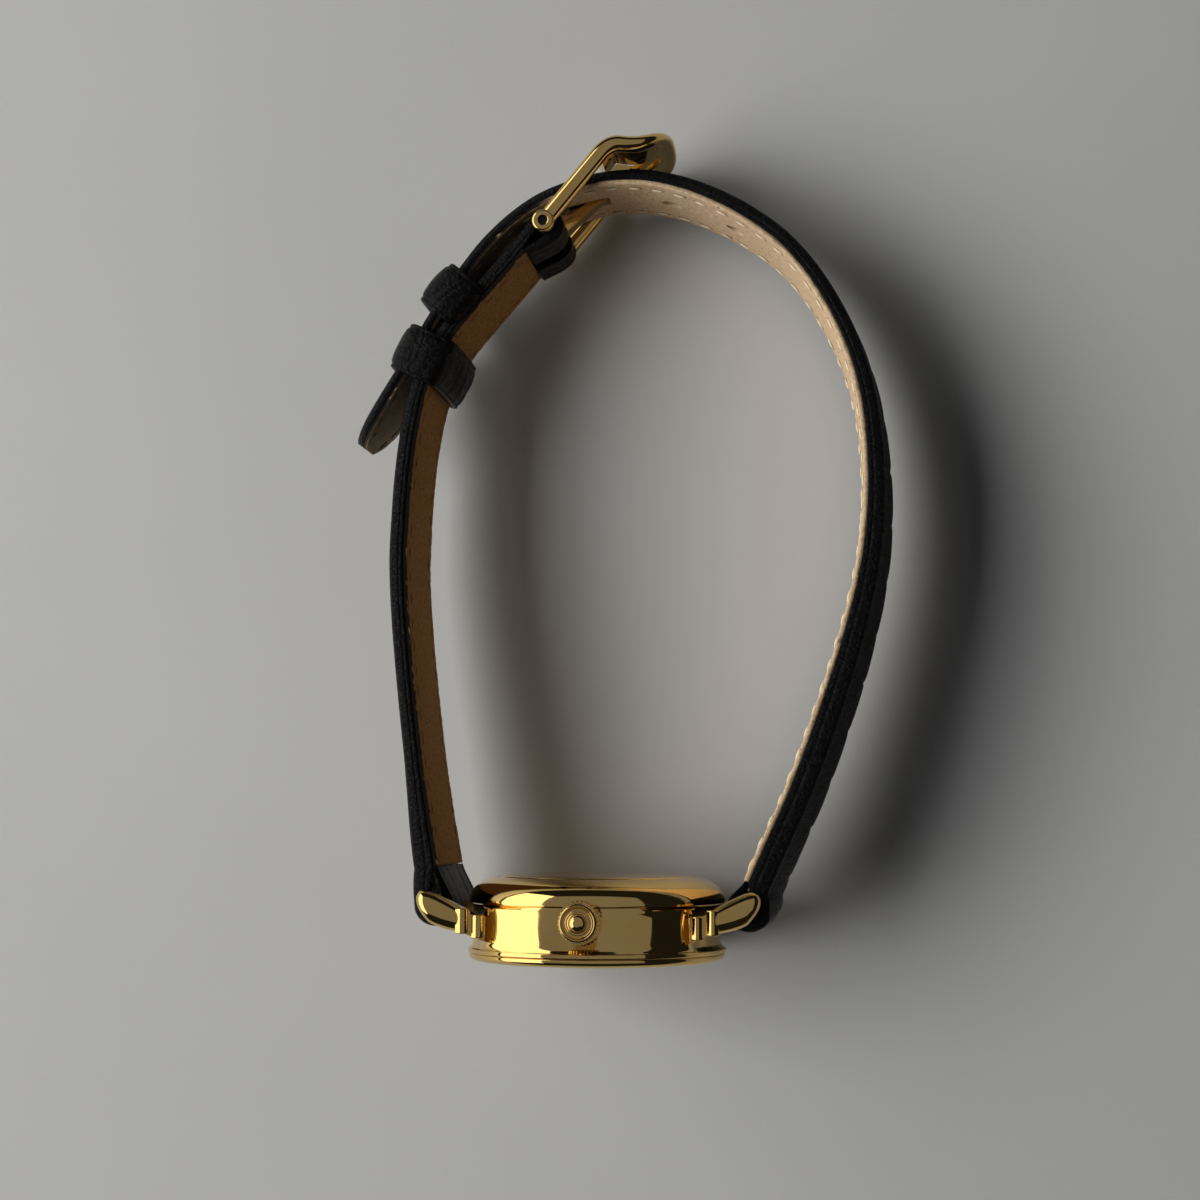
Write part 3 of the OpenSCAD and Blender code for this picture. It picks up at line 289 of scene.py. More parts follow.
def polish(piece, edge=40):
    """Puts a metal piece in its place, smooth all over but with its flats kept flat"""
    piece.data.transform(to_frame)
    piece.data.polygons.foreach_set("use_smooth", [True] * len(piece.data.polygons))
    piece.data.set_sharp_from_angle(angle=math.radians(edge))
    piece.modifiers.new("flats", "WEIGHTED_NORMAL").keep_sharp = True
    return settled(piece)


def cut(piece, *tools):
    """Cuts the shape of each tool out of a piece"""
    for tool in tools:
        modifier = piece.modifiers.new("cut", "BOOLEAN")
        modifier.object = tool
        modifier.solver = "EXACT"
    settled(piece)
    for tool in tools:
        bpy.data.objects.remove(tool)
    return piece


def smooth_line(points, per_span):
    """Points on a smooth curve through the given ones"""
    points = np.array(points, float)
    t = np.linspace(0, 1, per_span, endpoint=False)[:, None]
    out = []
    for i in range(len(points) - 1):
        a, b, c, d = (points[min(max(j, 0), len(points) - 1)] for j in range(i - 1, i + 3))
        out.append(0.5 * (2 * b + (c - a) * t + (2 * a - 5 * b + 4 * c - d) * t ** 2
                          + (3 * b - a - 3 * c + d) * t ** 3))
    return np.concatenate(out + [points[-1:]])


def run_along(points, axis=0):
    """Length along a line of points to each one"""
    gap = np.linalg.norm(np.diff(points, axis=axis), axis=-1)
    return np.insert(np.cumsum(gap, axis), 0, 0, axis)


case_r, rim_r, bore_r = 11.3, 11.65, 10.5
band_front, waist_front, band_back = -3.25, -2.55, 1.1
seat_r = bore_r + 0.28
waist_depth = 0.25
waist = [(case_r - waist_depth * math.sin(math.pi * t),
          waist_front + (band_back - waist_front) * t) for t in np.linspace(0, 1, 17)]
case = turned("gold_case_band", eased(
    [(seat_r, band_back), (seat_r, band_back - 0.28), (bore_r, band_back - 0.28),
     (bore_r, band_front), (rim_r - 0.1, band_front), (rim_r, band_front + 0.1),
     (rim_r, band_front + 0.45), (11.475, -2.77)], 0.07) + waist)
cut(case, turned("stem_hole", [(0, 8), (0.65, 8), (0.65, 14), (0, 14)], 32, y_to_z))
made = reopened(case)

# Between its lugs the band is a little flatter than the round rims above and below it
flat_r, flat_half, flat_front = 13.2, 9.6, -2.85
for vert in made.verts:
    x, y, z = vert.co
    if (math.hypot(x, z) > case_r - 0.4 and flat_front < y < band_back
            and abs(x) < flat_half):
        swell = (math.sqrt(flat_r ** 2 - x * x) - flat_r + case_r
                 - math.sqrt(case_r ** 2 - x * x))
        share = min(1, (y - flat_front) / 0.35, (band_back - y) / 0.2,
                    (flat_half - abs(x)) / 0.6)
        vert.co.z += math.copysign(swell * share, z)
lug_leaf = [(8.34, 0.2), (9.8, 0.3), (10.6, 0.65), (11.4, 1.15), (12.5, 1.75), (13.7, 2.3),
            (14.5, 2.45), (14.9, 2.25), (15.1, 1.7), (14.9, 0.85), (14.3, 0), (13.7, -0.5),
            (12.4, -0.95), (11.2, -1.2), (10.1, -1.5), (9.1, -1.95), (8.34, -2.1)]
lug_in, lug_out = 6.5, 8.65
leaf_start = 10.9
leaf_line = [tuple(p) for p in smooth_line(lug_leaf, 5)]
reed_rise = 0.64
reed = [(-0.56, 0), (-0.56, 0.3), (-0.5, 0.42), (-0.1, 0.62), (0, reed_rise), (0.1, 0.62),
        (0.5, 0.42), (0.56, 0.3), (0.56, 0)]


def prism(made, line, low, high, soft):
    """Adds a slab with the outline line between two levels, its rims rounded"""
    caps = skin(made, [[(x, y, level) for x, y in line] for level in (low, high)])
    bmesh.ops.bevel(made, geom=list({e for f in caps for e in f.edges}), offset=soft,
                    segments=5, profile=0.5, affect="EDGES")


def domed_leaf(made, side, line, low, high):
    """Adds a lug's leaf between two levels, the high side domed over its middle line"""
    x, y = np.array(line).T
    spine_x = np.clip(x, x.min(), x.max() - 1.25)
    spine_y = np.interp(spine_x, [leaf_start, 12.5, 13.9], [-0.05, 0.4, 0.95])
    way = math.copysign(1, high - low)
    dome = 0.95 * way
    sections = [(0.92, low), (1, low + 0.15 * way)]
    for a in np.radians([0, 12, 24, 36, 48, 60, 70, 78, 84]):
        sections.append((math.cos(a) ** 0.9, high - dome * (1 - math.sin(a))))
    skin(made, [[(side * (sx + f * (px - sx)), sy + f * (py - sy), level)
                 for px, py, sx, sy in zip(x, y, spine_x, spine_y)] for f, level in sections])


for side, face in ((-1, -1), (-1, 1), (1, -1), (1, 1)):
    # The leaf, then two lower steps that two reeds set off from it and from the band
    leaf = [p for p in leaf_line if p[0] >= leaf_start]
    domed_leaf(made, side, leaf, face * lug_in, face * lug_out)
    for near, far, out, soft in ((9.5, 11.0, 8.3, 0.12), (8.8, 9.7, 8.05, 0.1)):
        line = [(side * x, y) for x, y in leaf_line if near <= x <= far]
        prism(made, line, *sorted((face * lug_in, face * out)), soft)
    for x, low, high, top in ((10.95, -1.3, 0.9, 8.75), (9.6, -1.7, 0.35, 8.5)):
        count = len(made.verts)
        prism(made, reed, low, high, 0.12)
        made.verts.ensure_lookup_table()
        # Stands the slab up: its outline lies across the lug and its height along y
        stand = Matrix(((side, 0, 0, side * x), (0, 0, 1, 0),
                        (0, face, 0, face * (top - reed_rise)), (0, 0, 0, 1)))
        bmesh.ops.transform(made, matrix=stand, verts=made.verts[count:])
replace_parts(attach(polish(start_piece("gold_case_band", made)), "watch"), "case_middle")

crystal_seat_r = 9.95
bezel = turned("gold_bezel", eased(
    [(11.55, band_front), (11.55, -3.55), (11.43, -3.75), (11.15, -3.91), (10.75, -3.98),
     (10.45, -4.0), (crystal_seat_r, -4.0), (crystal_seat_r, -3.15), (9.15, -3.15),
     (9.15, -2.25), (10.48, -2.25), (10.48, band_front)], 0.09))
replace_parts(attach(polish(bezel), "watch"), "bezel")

caseback = turned("gold_caseback", eased(
    [(0, 3.85), (4.2, 3.81), (7.4, 3.71), (8.7, 3.6), (8.8, 3.42), (9.1, 3.38), (9.2, 3.5),
     (10.1, 3.25), (10.8, 2.85), (11.3, 2.3), (11.55, 1.65), (11.55, band_back),
     (10.48, band_back), (10.48, 0.5), (9.88, 0.5), (9.88, 2.0), (8.8, 3.0), (0, 3.0)], 0.35))
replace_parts(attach(polish(caseback), "watch"), "caseback")

dress(gold, "crown_tube", "hour_markers", "hour_hand", "minute_hand", "buckle_tongue")


# ---- Crown
# Turned brass with thirty rolled ribs, a stepped end ring and a domed boss, screwed on the
# stem. The ribs are made by one Geometry Nodes tree round the turned body.

crown_base = case_r + 0.4
rib_r = 0.14
crown_r = 1.85


def start_tree(name, **sizes):
    """Starts a Geometry Nodes tree with one named input for each size"""
    tree = bpy.data.node_groups.new(name, "GeometryNodeTree")
    tree.interface.new_socket("Geometry", in_out="INPUT", socket_type="NodeSocketGeometry")
    tree.interface.new_socket("Geometry", in_out="OUTPUT", socket_type="NodeSocketGeometry")
    for label, value in sizes.items():
        kind = "NodeSocketInt" if isinstance(value, int) else "NodeSocketFloat"
        tree.interface.new_socket(label, in_out="INPUT", socket_type=kind).default_value = value
    return tree, add(tree, "NodeGroupInput").outputs


def end_tree(tree, geometry, material):
    """Makes the copies real and gives them their material"""
    real = add(tree, "GeometryNodeRealizeInstances", {"Geometry": geometry})
    done = add(tree, "GeometryNodeSetMaterial", {"Geometry": real, "Material": material})
    add(tree, "NodeGroupOutput", {"Geometry": done})


def grow(piece, tree, **sizes):
    """Runs a tree on a piece with these sizes, and keeps the plain mesh"""
    modifier = piece.modifiers.new(tree.name, "NODES")
    modifier.node_group = tree
    for socket in tree.interface.items_tree:
        if socket.in_out == "INPUT" and socket.name in sizes:
            modifier[socket.identifier] = sizes[socket.name]
    return settled(piece)


ribs, sizes = start_tree(
    "crown_ribs", Count=30, Ring=crown_r - rib_r, Rib=rib_r, Length=2.35,
    Middle=crown_base + 1.37)
ring = add(ribs, "GeometryNodeMeshCircle", {
    "Vertices": sizes["Count"], "Radius": sizes["Ring"]})
rib = add(ribs, "GeometryNodeMeshCylinder", {
    "Vertices": 12, "Radius": sizes["Rib"], "Depth": sizes["Length"]})
smooth_rib = add(ribs, "GeometryNodeSetShadeSmooth", {"Geometry": rib})
set_ribs = add(ribs, "GeometryNodeInstanceOnPoints", {"Points": ring, "Instance": smooth_rib})
lift = add(ribs, "ShaderNodeCombineXYZ", {"Z": sizes["Middle"]})
raised = add(ribs, "GeometryNodeTransform", {"Geometry": set_ribs, "Translation": lift})
body = add(ribs, "GeometryNodeJoinGeometry", {"Geometry": sizes["Geometry"]})
feed(body, {"Geometry": raised})
end_tree(ribs, body, gold)

crown = turned("gold_crown", eased(
    [(0, 2.5), (0.42, 2.5), (0.42, 1.3), (0.95, 1.3), (0.95, 0), (1.55, 0), (1.7, 0.15),
     (1.7, 2.5), (1.63, 2.72), (1.48, 2.86), (1.4, 2.85), (1.24, 2.7), (1.06, 2.66),
     (0.98, 2.72), (0.9, 2.68), (0.8, 2.72), (0.7, 2.95), (0.55, 3.1), (0.3, 3.21),
     (0, 3.24)], 0.04), 96, Matrix.Translation((0, 0, crown_base)) @ y_to_z)
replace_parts(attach(polish(grow(crown, ribs), 50), "crown_stem"), "crown")


# ---- Crystal and gaskets
# A flat mineral glass with a chamfered rim, pressed into a clear nylon ring gasket. The
# other seals are moulded black nitrile rubber.

# Mineral glass: clear and hard-edged, under a film of finger grease (5 mm smears)
glass, tree, shader = new_finish("mineral_glass", IOR=1.52, Transmission_Weight=1.0)
place = add(tree, "ShaderNodeTexCoord").outputs["Object"]
smear = add(tree, "ShaderNodeTexNoise", {"Vector": place, "Scale": 180, "Detail": 3})
film = add(tree, "ShaderNodeMapRange", {"Value": smear, "To Min": 0.0, "To Max": 0.03})
feed(shader, {"Roughness": film})
dress(glass, "crystal")


def plain_finish(name, dark, light, grain_mm, low, high, **shader_values):
    """A material whose tone and gloss both follow one fine noise"""
    material, tree, shader = new_finish(name, **shader_values)
    place = add(tree, "ShaderNodeTexCoord").outputs["Object"]
    grain = add(tree, "ShaderNodeTexNoise", {
        "Vector": place, "Scale": 1 / (grain_mm * MM), "Detail": 3})
    tone = add(tree, "ShaderNodeValToRGB", {"Fac": grain}, stops=[(0.3, dark), (0.7, light)])
    gloss = add(tree, "ShaderNodeMapRange", {"Value": grain, "To Min": low, "To Max": high})
    rise = add(tree, "ShaderNodeBump", {
        "Height": grain, "Strength": 0.1, "Distance": grain_mm * MM / 5})
    feed(shader, {"Base Color": tone, "Roughness": gloss, "Normal": rise})
    return material


dress(plain_finish("clear_nylon", "#dcd8c8", "#e8e4d6", 0.6, 0.3, 0.45), "crystal_gasket",
      "movement_ring")
dress(plain_finish("nitrile_rubber", "#151515", "#1f1f1f", 0.2, 0.55, 0.7),
      "caseback_gasket", "crown_gasket")


# ---- Movement
# A three-hand quartz movement: lapped brass plate and wheels, steel stem, bridge and
# screws, a stainless cell, an enamelled copper coil and a lacquered board.

for name, dark, light, grain_mm, low, high, metal, worn_by in (
        ("machined_steel", "#a9acb0", "#c4c6ca", 0.15, 0.18, 0.32, 1,
         "setting_stem sliding_pinion setting_lever train_bridge bridge_screws quartz_can "
         "rotor cannon_pinion spring_bar_12 spring_bar_6 plunger_12_near plunger_12_far "
         "plunger_6_near plunger_6_far"),
        # The buckle bar's steel is near black: painted shade where its ends sit back in the
        # eyes
        ("steel_darkened_as_shade", "#2a2826", "#3b3936", 0.15, 0.3, 0.45, 1, "buckle_bar"),
        ("stainless_cell_can", "#b7b7b6", "#cccccb", 0.4, 0.2, 0.35, 1, "battery"),
        ("lapped_brass", "#b5924b", "#cdac66", 0.3, 0.22, 0.36, 1,
         "main_plate intermediate_wheel third_wheel centre_wheel minute_wheel hour_wheel"),
        ("spring_brass", "#bfa565", "#d3bc82", 0.3, 0.25, 0.4, 1, "battery_clamp"),
        ("enamelled_copper_wire", "#7d3a1a", "#b8683a", 0.06, 0.25, 0.4, 0, "coil"),
        ("soft_magnetic_alloy", "#7f8286", "#989ba0", 0.2, 0.3, 0.45, 1, "stator"),
        ("lacquered_glass_epoxy", "#1f5a30", "#2c7040", 0.25, 0.25, 0.4, 0,
         "circuit_board")):
    dress(plain_finish(name, dark, light, grain_mm, low, high, Metallic=metal),
          *worn_by.split())


# ---- Dial
# A thin brass disc under satin cream lacquer, with sixty printed minute strokes round it
# between the applied hour markers.

dress(plain_finish("satin_dial_lacquer", "#ece5d3", "#f3eddf", 0.12, 0.35, 0.5), "dial")
print_ink = plain_finish("black_dial_ink", "#141312", "#1f1d1b", 0.05, 0.4, 0.55)

dial_front = -2.25
track, sizes = start_tree(
    "minute_track", Count=60, Ring=8.78, Length=0.34, Width=0.07, Height=0.03)
ring = add(track, "GeometryNodeMeshCircle", {
    "Vertices": sizes["Count"], "Radius": sizes["Ring"]})
shape = add(track, "ShaderNodeCombineXYZ", {
    "X": sizes["Length"], "Y": sizes["Width"], "Z": sizes["Height"]})
stroke = add(track, "GeometryNodeMeshCube", {"Size": shape})
outward = add(track, "FunctionNodeAlignRotationToVector", {
    "Vector": add(track, "GeometryNodeInputPosition")}, axis="X")
strokes = add(track, "GeometryNodeInstanceOnPoints", {
    "Points": ring, "Instance": stroke, "Rotation": outward})
end_tree(track, strokes, print_ink)
minute_track = grow(
    add_object("dial_minute_track", bpy.data.meshes.new("dial_minute_track")), track)
minute_track.data.transform(to_frame @ Matrix.Translation((0, dial_front - 0.005, 0)) @ y_to_z)
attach(minute_track, "watch")


# ---- Buckle frame
# One bent and polished gold-plated frame: two domed arms with eyes for the bar, and a broad
# bow plate with a dip, slotted for the tongue. The bar's steel ends sit back in the eyes.

buckle_at = np.array([-4.4, 62.7])
arm_dir = math.radians(50.5)
bow_dir = math.radians(13)
tongue_dir = math.radians(40)
arm_z = 6.2


def heading(angle):
    """Unit direction in the plane of the loop"""
    return np.array([math.cos(angle), math.sin(angle)])


crank_at = buckle_at + 9.4 * heading(arm_dir)


def bow_point(c):
    """Place on the bow in the plane of the loop, from 0 at the crank to 1 at its front"""
    return (crank_at + (5 * c ** 0.85 - 0.5 * c * c) * heading(bow_dir)
            + 0.75 * math.sin(math.pi * c ** 0.85) * heading(bow_dir - math.pi / 2))


arm_n = 24
arm_line = [(*(buckle_at + t * (crank_at - buckle_at)), arm_z)
            for t in np.linspace(0, 1, arm_n, endpoint=False)]
bow_line = []
for t in np.linspace(1, -1, 73):
    at = bow_point(max(math.cos(math.pi / 2 * t), 0))
    bow_line.append((*at, math.copysign(arm_z * abs(math.sin(math.pi / 2 * t)) ** 0.6, t)))
sharp_line = np.array(arm_line + bow_line + [(x, y, -z) for x, y, z in arm_line[::-1]])
frame_line = sharp_line.copy()
count = len(frame_line)
# The crank between each arm and the bow is a soft bend
bend = range(arm_n - 6, arm_n + 10)
for i in [*bend, *(count - 1 - i for i in bend)]:
    frame_line[i] = sharp_line[i - 3:i + 4].mean(0)
station = np.arange(count)
from_end = np.minimum(station, count - 1 - station)
broad = np.where(from_end < arm_n, 0, np.cos(np.pi / 2 * np.interp(
    station, [arm_n, count - 1 - arm_n], [1, -1])) ** 0.8)[:, None]
ahead = np.gradient(frame_line, axis=0)
ahead /= np.linalg.norm(ahead, axis=1)[:, None]
turn_dir = math.pi / 2 + np.interp(from_end, [arm_n - 5, arm_n + 6], [arm_dir, bow_dir])
rise = np.stack([np.cos(turn_dir), np.sin(turn_dir), 0 * turn_dir], 1)
across = np.cross(ahead, rise)
across /= np.linalg.norm(across, axis=1)[:, None]
rise = np.cross(across, ahead)
# Domed section, broader and a little thinner on the bow
arm_w, arm_t = 1.4, 1.5
turn = np.linspace(0, 2 * math.pi, 28, endpoint=False)
wide = (arm_w + broad) / 2 * np.copysign(np.abs(np.cos(turn)) ** 0.85, np.cos(turn))
high = (arm_t - 0.3 * broad) / 2 * np.sin(turn)
made = bmesh.new()
skin(made, frame_line[:, None] + wide[:, :, None] * across[:, None]
     + high[:, :, None] * rise[:, None])
frame_piece = start_piece("gold_buckle_frame", made)

on_bar = Matrix.Translation((*buckle_at, 0)) @ y_to_z
cut(frame_piece, turned("bar_hole", [(0, -9), (0.55, -9), (0.55, 9), (0, 9)], 48, on_bar),
    tool_box("tongue_rest", buckle_at, tongue_dir, (13.4, 1.48, 0), (8, 4, 2.2)))
made = reopened(frame_piece)
eye = eased([(0.55, arm_z - 0.7), (1.02, arm_z - 0.7), (1.02, arm_z + 0.74),
             (0.44, arm_z + 0.74), (0.44, arm_z + 0.5), (0.55, arm_z + 0.46)], 0.3)
plate_half_t = 0.42
shares = [0] * 5 + list(np.linspace(0, 0.97, 25))
middle = [crank_at - t * heading(arm_dir) for t in (1.7, 1.3, 0.9, 0.5, 0.2)]
middle = np.array(middle + [bow_point(c) for c in shares[5:]])
for face in (-1, 1):
    spin(made, [(r, face * z) for r, z in eye], 64, on_bar)
    # Half of the bow plate, between its arm and the tongue's slot
    rows = []
    for c, at, ahead in zip(shares, middle, np.gradient(middle, axis=0)):
        down = np.array([ahead[1], -ahead[0]]) / np.linalg.norm(ahead)
        edge_z = arm_z * (1 - c * c) ** 0.3 + 0.1
        rows.append([(*(at + plate_half_t * n * down), face * z) for n, z in (
            (-0.7, 1.15), (-1, 1.4), (-1, edge_z), (1, edge_z), (1, 1.4), (0.7, 1.15))])
    skin(made, rows)
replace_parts(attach(polish(start_piece("gold_buckle_frame", made)), "buckle"),
            "buckle_frame")


# ---- Strap leather
# Calf leather embossed with an alligator grain and finished in black: a thick upper, padded
# by the lug and folded round the spring bar. The short piece folds round the buckle's bar as
# well, with a slot for the tongue, and black thread runs along both edges.

bar_at = np.array([13.6, 0.9])
short_route = [
    (-13.4, 1.2), (-13.9, 4.3), (-14.8, 9.4), (-15.6, 14.6), (-16.7, 24.2), (-17.2, 31),
    (-17.1, 36), (-16.8, 40.6), (-16.2, 45), (-15.2, 48.9), (-13.2, 52.7), (-10.4, 56.1),
    (-7.9, 59), (-6.2, 61.1), (-4.85, 63.1)]
long_route = [
    (12.9, 1), (13.9, 3.1), (15.5, 6.7), (17.2, 10.4), (18.8, 14.4), (20.4, 18.8),
    (22, 23.6), (23.4, 28.6), (24.3, 33.2), (24.7, 38.3), (24.5, 43.5), (23.8, 47.9),
    (22.3, 52.4), (19.9, 56.9), (17.1, 60.4), (13.8, 63), (10.6, 64.8), (7.6, 66),
    (4.4, 66.7), (0.8, 66.7), (-2.3, 66), (-4.5, 65.2), (-6.4, 64.1), (-8.4, 62.5),
    (-10.4, 60.4), (-12.9, 57), (-15.2, 53.3), (-17.3, 49.7), (-19.6, 46.1), (-21.9, 43)]


def ease(x, a, b):
    """Soft step from 0 at a to 1 at b"""
    t = np.clip((np.asarray(x, float) - a) / (b - a), 0, 1)
    return t * t * (3 - 2 * t)


def wrapped(centre, radius, start, stop):
    """Stations round a bar, between two turns in degrees"""
    turn = np.radians(np.linspace(start, stop, int(abs(stop - start) / 7) + 1))
    out = np.stack([np.cos(turn), np.sin(turn)], 1)
    return centre + radius * out, out


mid_t, station_gap = 0.6, 0.3


def strap_line(route, side, bar, tucked, start, stop, first):
    """Stations along a strap piece: places, outward normals and runs. The wrap round the bar,
    between two turns, and its tucked end take the place of the route's start. wrap and tuck
    say how far each station is through them."""
    fine = smooth_line(route, 40)
    fine_run = run_along(fine)
    length = fine_run[-1]
    runs = np.linspace(0, length, int(length / station_gap) + 1)
    places = np.stack([np.interp(runs, fine_run, fine[:, k]) for k in (0, 1)], 1)
    ahead = np.gradient(places, axis=0)
    ahead /= np.linalg.norm(ahead, axis=1)[:, None]
    normals = side * np.stack([ahead[:, 1], -ahead[:, 0]], 1)
    keep = runs > first
    places, normals, runs = places[keep], normals[keep], runs[keep]
    round_places, round_normals = wrapped(bar, 0.8, start, stop)
    part = np.linspace(0, 1, 10)[:-1, None]
    flap_places = np.array(tucked) + part * (round_places[0] - tucked)
    bridge = round_places[-1] + part[1:] * (places[0] - round_places[-1])
    count = len(flap_places) + len(round_places) + len(bridge)
    places = np.concatenate([flap_places, round_places, bridge, places])
    normals = np.concatenate([
        0 * flap_places + round_normals[0], round_normals,
        round_normals[-1] + part[1:] * (normals[0] - round_normals[-1]), normals])
    lead = run_along(places + mid_t * normals)
    runs = np.concatenate([lead[:count] - lead[count] + runs[0], runs])
    bare = runs[len(flap_places)]
    return SimpleNamespace(
        places=places, out=normals, runs=runs, len=length, tuck=ease(runs, runs[0], bare),
        wrap=np.clip((runs - bare) / (runs[count] - bare), 0, 1))


def scale_grain(run, across, seed):
    """Alligator emboss at each point: 1 in a groove between scales, 0 on a scale"""
    rng = np.random.default_rng(seed)
    nearest = np.full(run.shape, 9.0)
    second = np.full(run.shape, 9.0)
    for row, half_run, half_wide in ((0, 2.3, 2.5), (3.6, 1.35, 1.15), (-3.6, 1.35, 1.15),
                                     (5.5, 1.1, 0.8), (-5.5, 1.1, 0.8)):
        for at in np.arange(run.min() + rng.uniform(-2, 0), run.max() + 4, 2 * half_run):
            off_run = (run - (at + rng.normal(0, 0.25))) / half_run
            off_wide = (across - (row + rng.normal(0, 0.18))) / half_wide
            reach = (np.abs(off_run) ** 3 + np.abs(off_wide) ** 3) ** (1 / 3)
            second = np.minimum(second, np.maximum(nearest, reach))
            nearest = np.minimum(nearest, reach)
    return np.exp(-((second - nearest) / 0.17) ** 2), nearest


def leather_shell(name, material, rings, along, around, cut_edge, looped=False):
    """A smooth piece through equal rings of points, capped or looped. It has a map in mm along
    and around the leather, and a mark where the leather is cut."""
    count, sides = rings.shape[:2]
    faces = [(i * sides + j, i * sides + (j + 1) % sides,
              (i + 1) % count * sides + (j + 1) % sides, (i + 1) % count * sides + j)
             for i in range(count if looped else count - 1) for j in range(sides)]
    if not looped:
        faces += [tuple(range(sides - 1, -1, -1)),
                  tuple(range((count - 1) * sides, count * sides))]
    mesh = bpy.data.meshes.new(name)
    mesh.from_pydata([tuple(v) for v in rings.reshape(-1, 3)], [], faces)
    index = np.zeros(len(mesh.loops), np.int32)
    mesh.loops.foreach_get("vertex_index", index)
    along, around, cut_edge = (
        np.broadcast_to(v, (count, sides)).astype(np.float32).ravel()
        for v in (along, around, cut_edge))
    layer = mesh.uv_layers.new(name="leather_mm")
    layer.data.foreach_set("uv", np.stack([along[index], around[index]], 1).ravel())
    edge = mesh.attributes.new("cut_edge", "FLOAT", "POINT")
    edge.data.foreach_set("value", cut_edge)
    made = bmesh.new()
    made.from_mesh(mesh)
    close_mesh(made, mesh)
    mesh.polygons.foreach_set("use_smooth", [True] * len(mesh.polygons))
    return add_object(name, mesh, material)


def strap_shell(name, material, strap, span, n, z, cut_edge):
    """A shell whose section at each station in span has points n above and z across it"""
    points = (strap.places[span][:, None, :]
              + n[:, :, None] * strap.out[span][:, None, :])
    rings = np.concatenate([points, z[:, :, None]], 2)
    return leather_shell(
        name, material, rings, strap.runs[span][:, None], run_along(rings, 1), cut_edge)


def edge_radius(edge):
    """Radius of the upper's edges, where it is edge high"""
    return np.minimum(0.42, 0.45 * edge)


def face_height(z, strap):
    """Height of the upper's face above its seam, flat at the edges and padded between"""
    half, edge, crown = (v[:, None] for v in (strap.half, strap.edge, strap.crown))
    return edge + crown * ease(1 - np.abs(z) / (half - edge_radius(edge)), 0.1, 0.62)


def round_section(wall, turn, face, side=1):
    """The values round a section: up one wall, over its face and down the other wall"""
    return np.hstack([side * wall, side * turn, face[:, 1:-1], turn[:, ::-1], wall[:, ::-1]])


def strap_upper(name, strap, seed):
    """The upper: flat under, walled at its edges, padded and embossed above"""
    wall = np.linspace(0.03, 1, 14)
    turn = np.radians(np.linspace(15, 90, 6))
    half, edge, emboss = (v[:, None] for v in (strap.half, strap.edge, strap.emboss))
    radius = edge_radius(edge)
    # The cut edge bulges a little, with the groove where upper and filler meet
    bulge = 0.05 * np.sin(np.pi * wall) - 0.07 * np.exp(-((wall - 0.42) / 0.07) ** 2)
    wall_n = wall * (edge - radius)
    wall_z = half + bulge + 0 * wall_n
    turn_n = edge - radius + radius * np.sin(turn)
    turn_z = half - radius + radius * np.cos(turn)
    inner = half - radius
    face_z = np.linspace(-1, 1, 53) * inner
    from_side = inner - np.abs(face_z)
    groove, bowl = scale_grain(strap.runs[:, None] + 0 * face_z, face_z, seed)
    face_n = face_height(face_z, strap)
    face_n = face_n - emboss * ease(from_side, 0.55, 1.3) * (
        groove + 0.35 * np.clip(bowl, 0, 1) ** 2)
    # The thread pulls a shallow furrow
    face_n = face_n - 0.07 * np.exp(-((from_side - 0.75) / 0.16) ** 2)
    under_z = np.linspace(1, -1, 5)[None, :] * (half - 0.04)
    n = np.hstack([0 * under_z, round_section(wall_n, turn_n, face_n)])
    z = np.hstack([under_z, round_section(wall_z, turn_z, face_z, -1)])
    cut_edge = np.hstack(
        [0 * under_z, round_section(1 + 0 * wall_n, 0.5 + 0 * turn_n, 0 * face_n)])
    return strap_shell(name, leather, strap, slice(None), n, z, cut_edge)


def taper(run, length):
    """Half width of a piece at a run from its lug"""
    return (12.6 - 2.6 * np.clip(run / length, 0, 1)) / 2


# Finished calf: near black with a soft sheen, and a dull blue-black inked cut edge whose
# lighter grey fibre streaks are painted highlight. The map is in mm, so the clouds are 1.1 mm,
# the pores
# 0.3 mm and the fibres 1 mm long.
leather, tree, shader = new_finish("embossed_black_calf")
along = add(tree, "ShaderNodeUVMap", uv_map="leather_mm").outputs["UV"]
edge_mark = add(tree, "ShaderNodeAttribute", attribute_name="cut_edge").outputs["Fac"]
cloud = add(tree, "ShaderNodeTexNoise", {"Vector": along, "Scale": 0.9, "Detail": 5})
pores = add(tree, "ShaderNodeTexVoronoi", {"Vector": along, "Scale": 3.2})
fibre_space = add(tree, "ShaderNodeMapping", {"Vector": along, "Scale": (0.7, 9, 1)})
fibre = add(tree, "ShaderNodeTexNoise", {"Vector": fibre_space, "Scale": 1.4, "Detail": 5})
face_tone = add(tree, "ShaderNodeValToRGB", {
    "Fac": cloud}, stops=[(0.3, "#020203"), (0.72, "#07080a")])
# The inked cut edge: its lighter grey-blue fibre streaks are painted highlight
edge_ink_and_painted_highlight = add(tree, "ShaderNodeValToRGB", {
    "Fac": fibre}, stops=[(0.42, "#030304"), (0.62, "#0b0c0f"), (0.76, "#26282e")])
tone = add(tree, "ShaderNodeMix", {0: edge_mark, 6: face_tone, 7: edge_ink_and_painted_highlight}, data_type="RGBA")
gloss = add(tree, "ShaderNodeMapRange", {"Value": cloud, "To Min": 0.18, "To Max": 0.42})
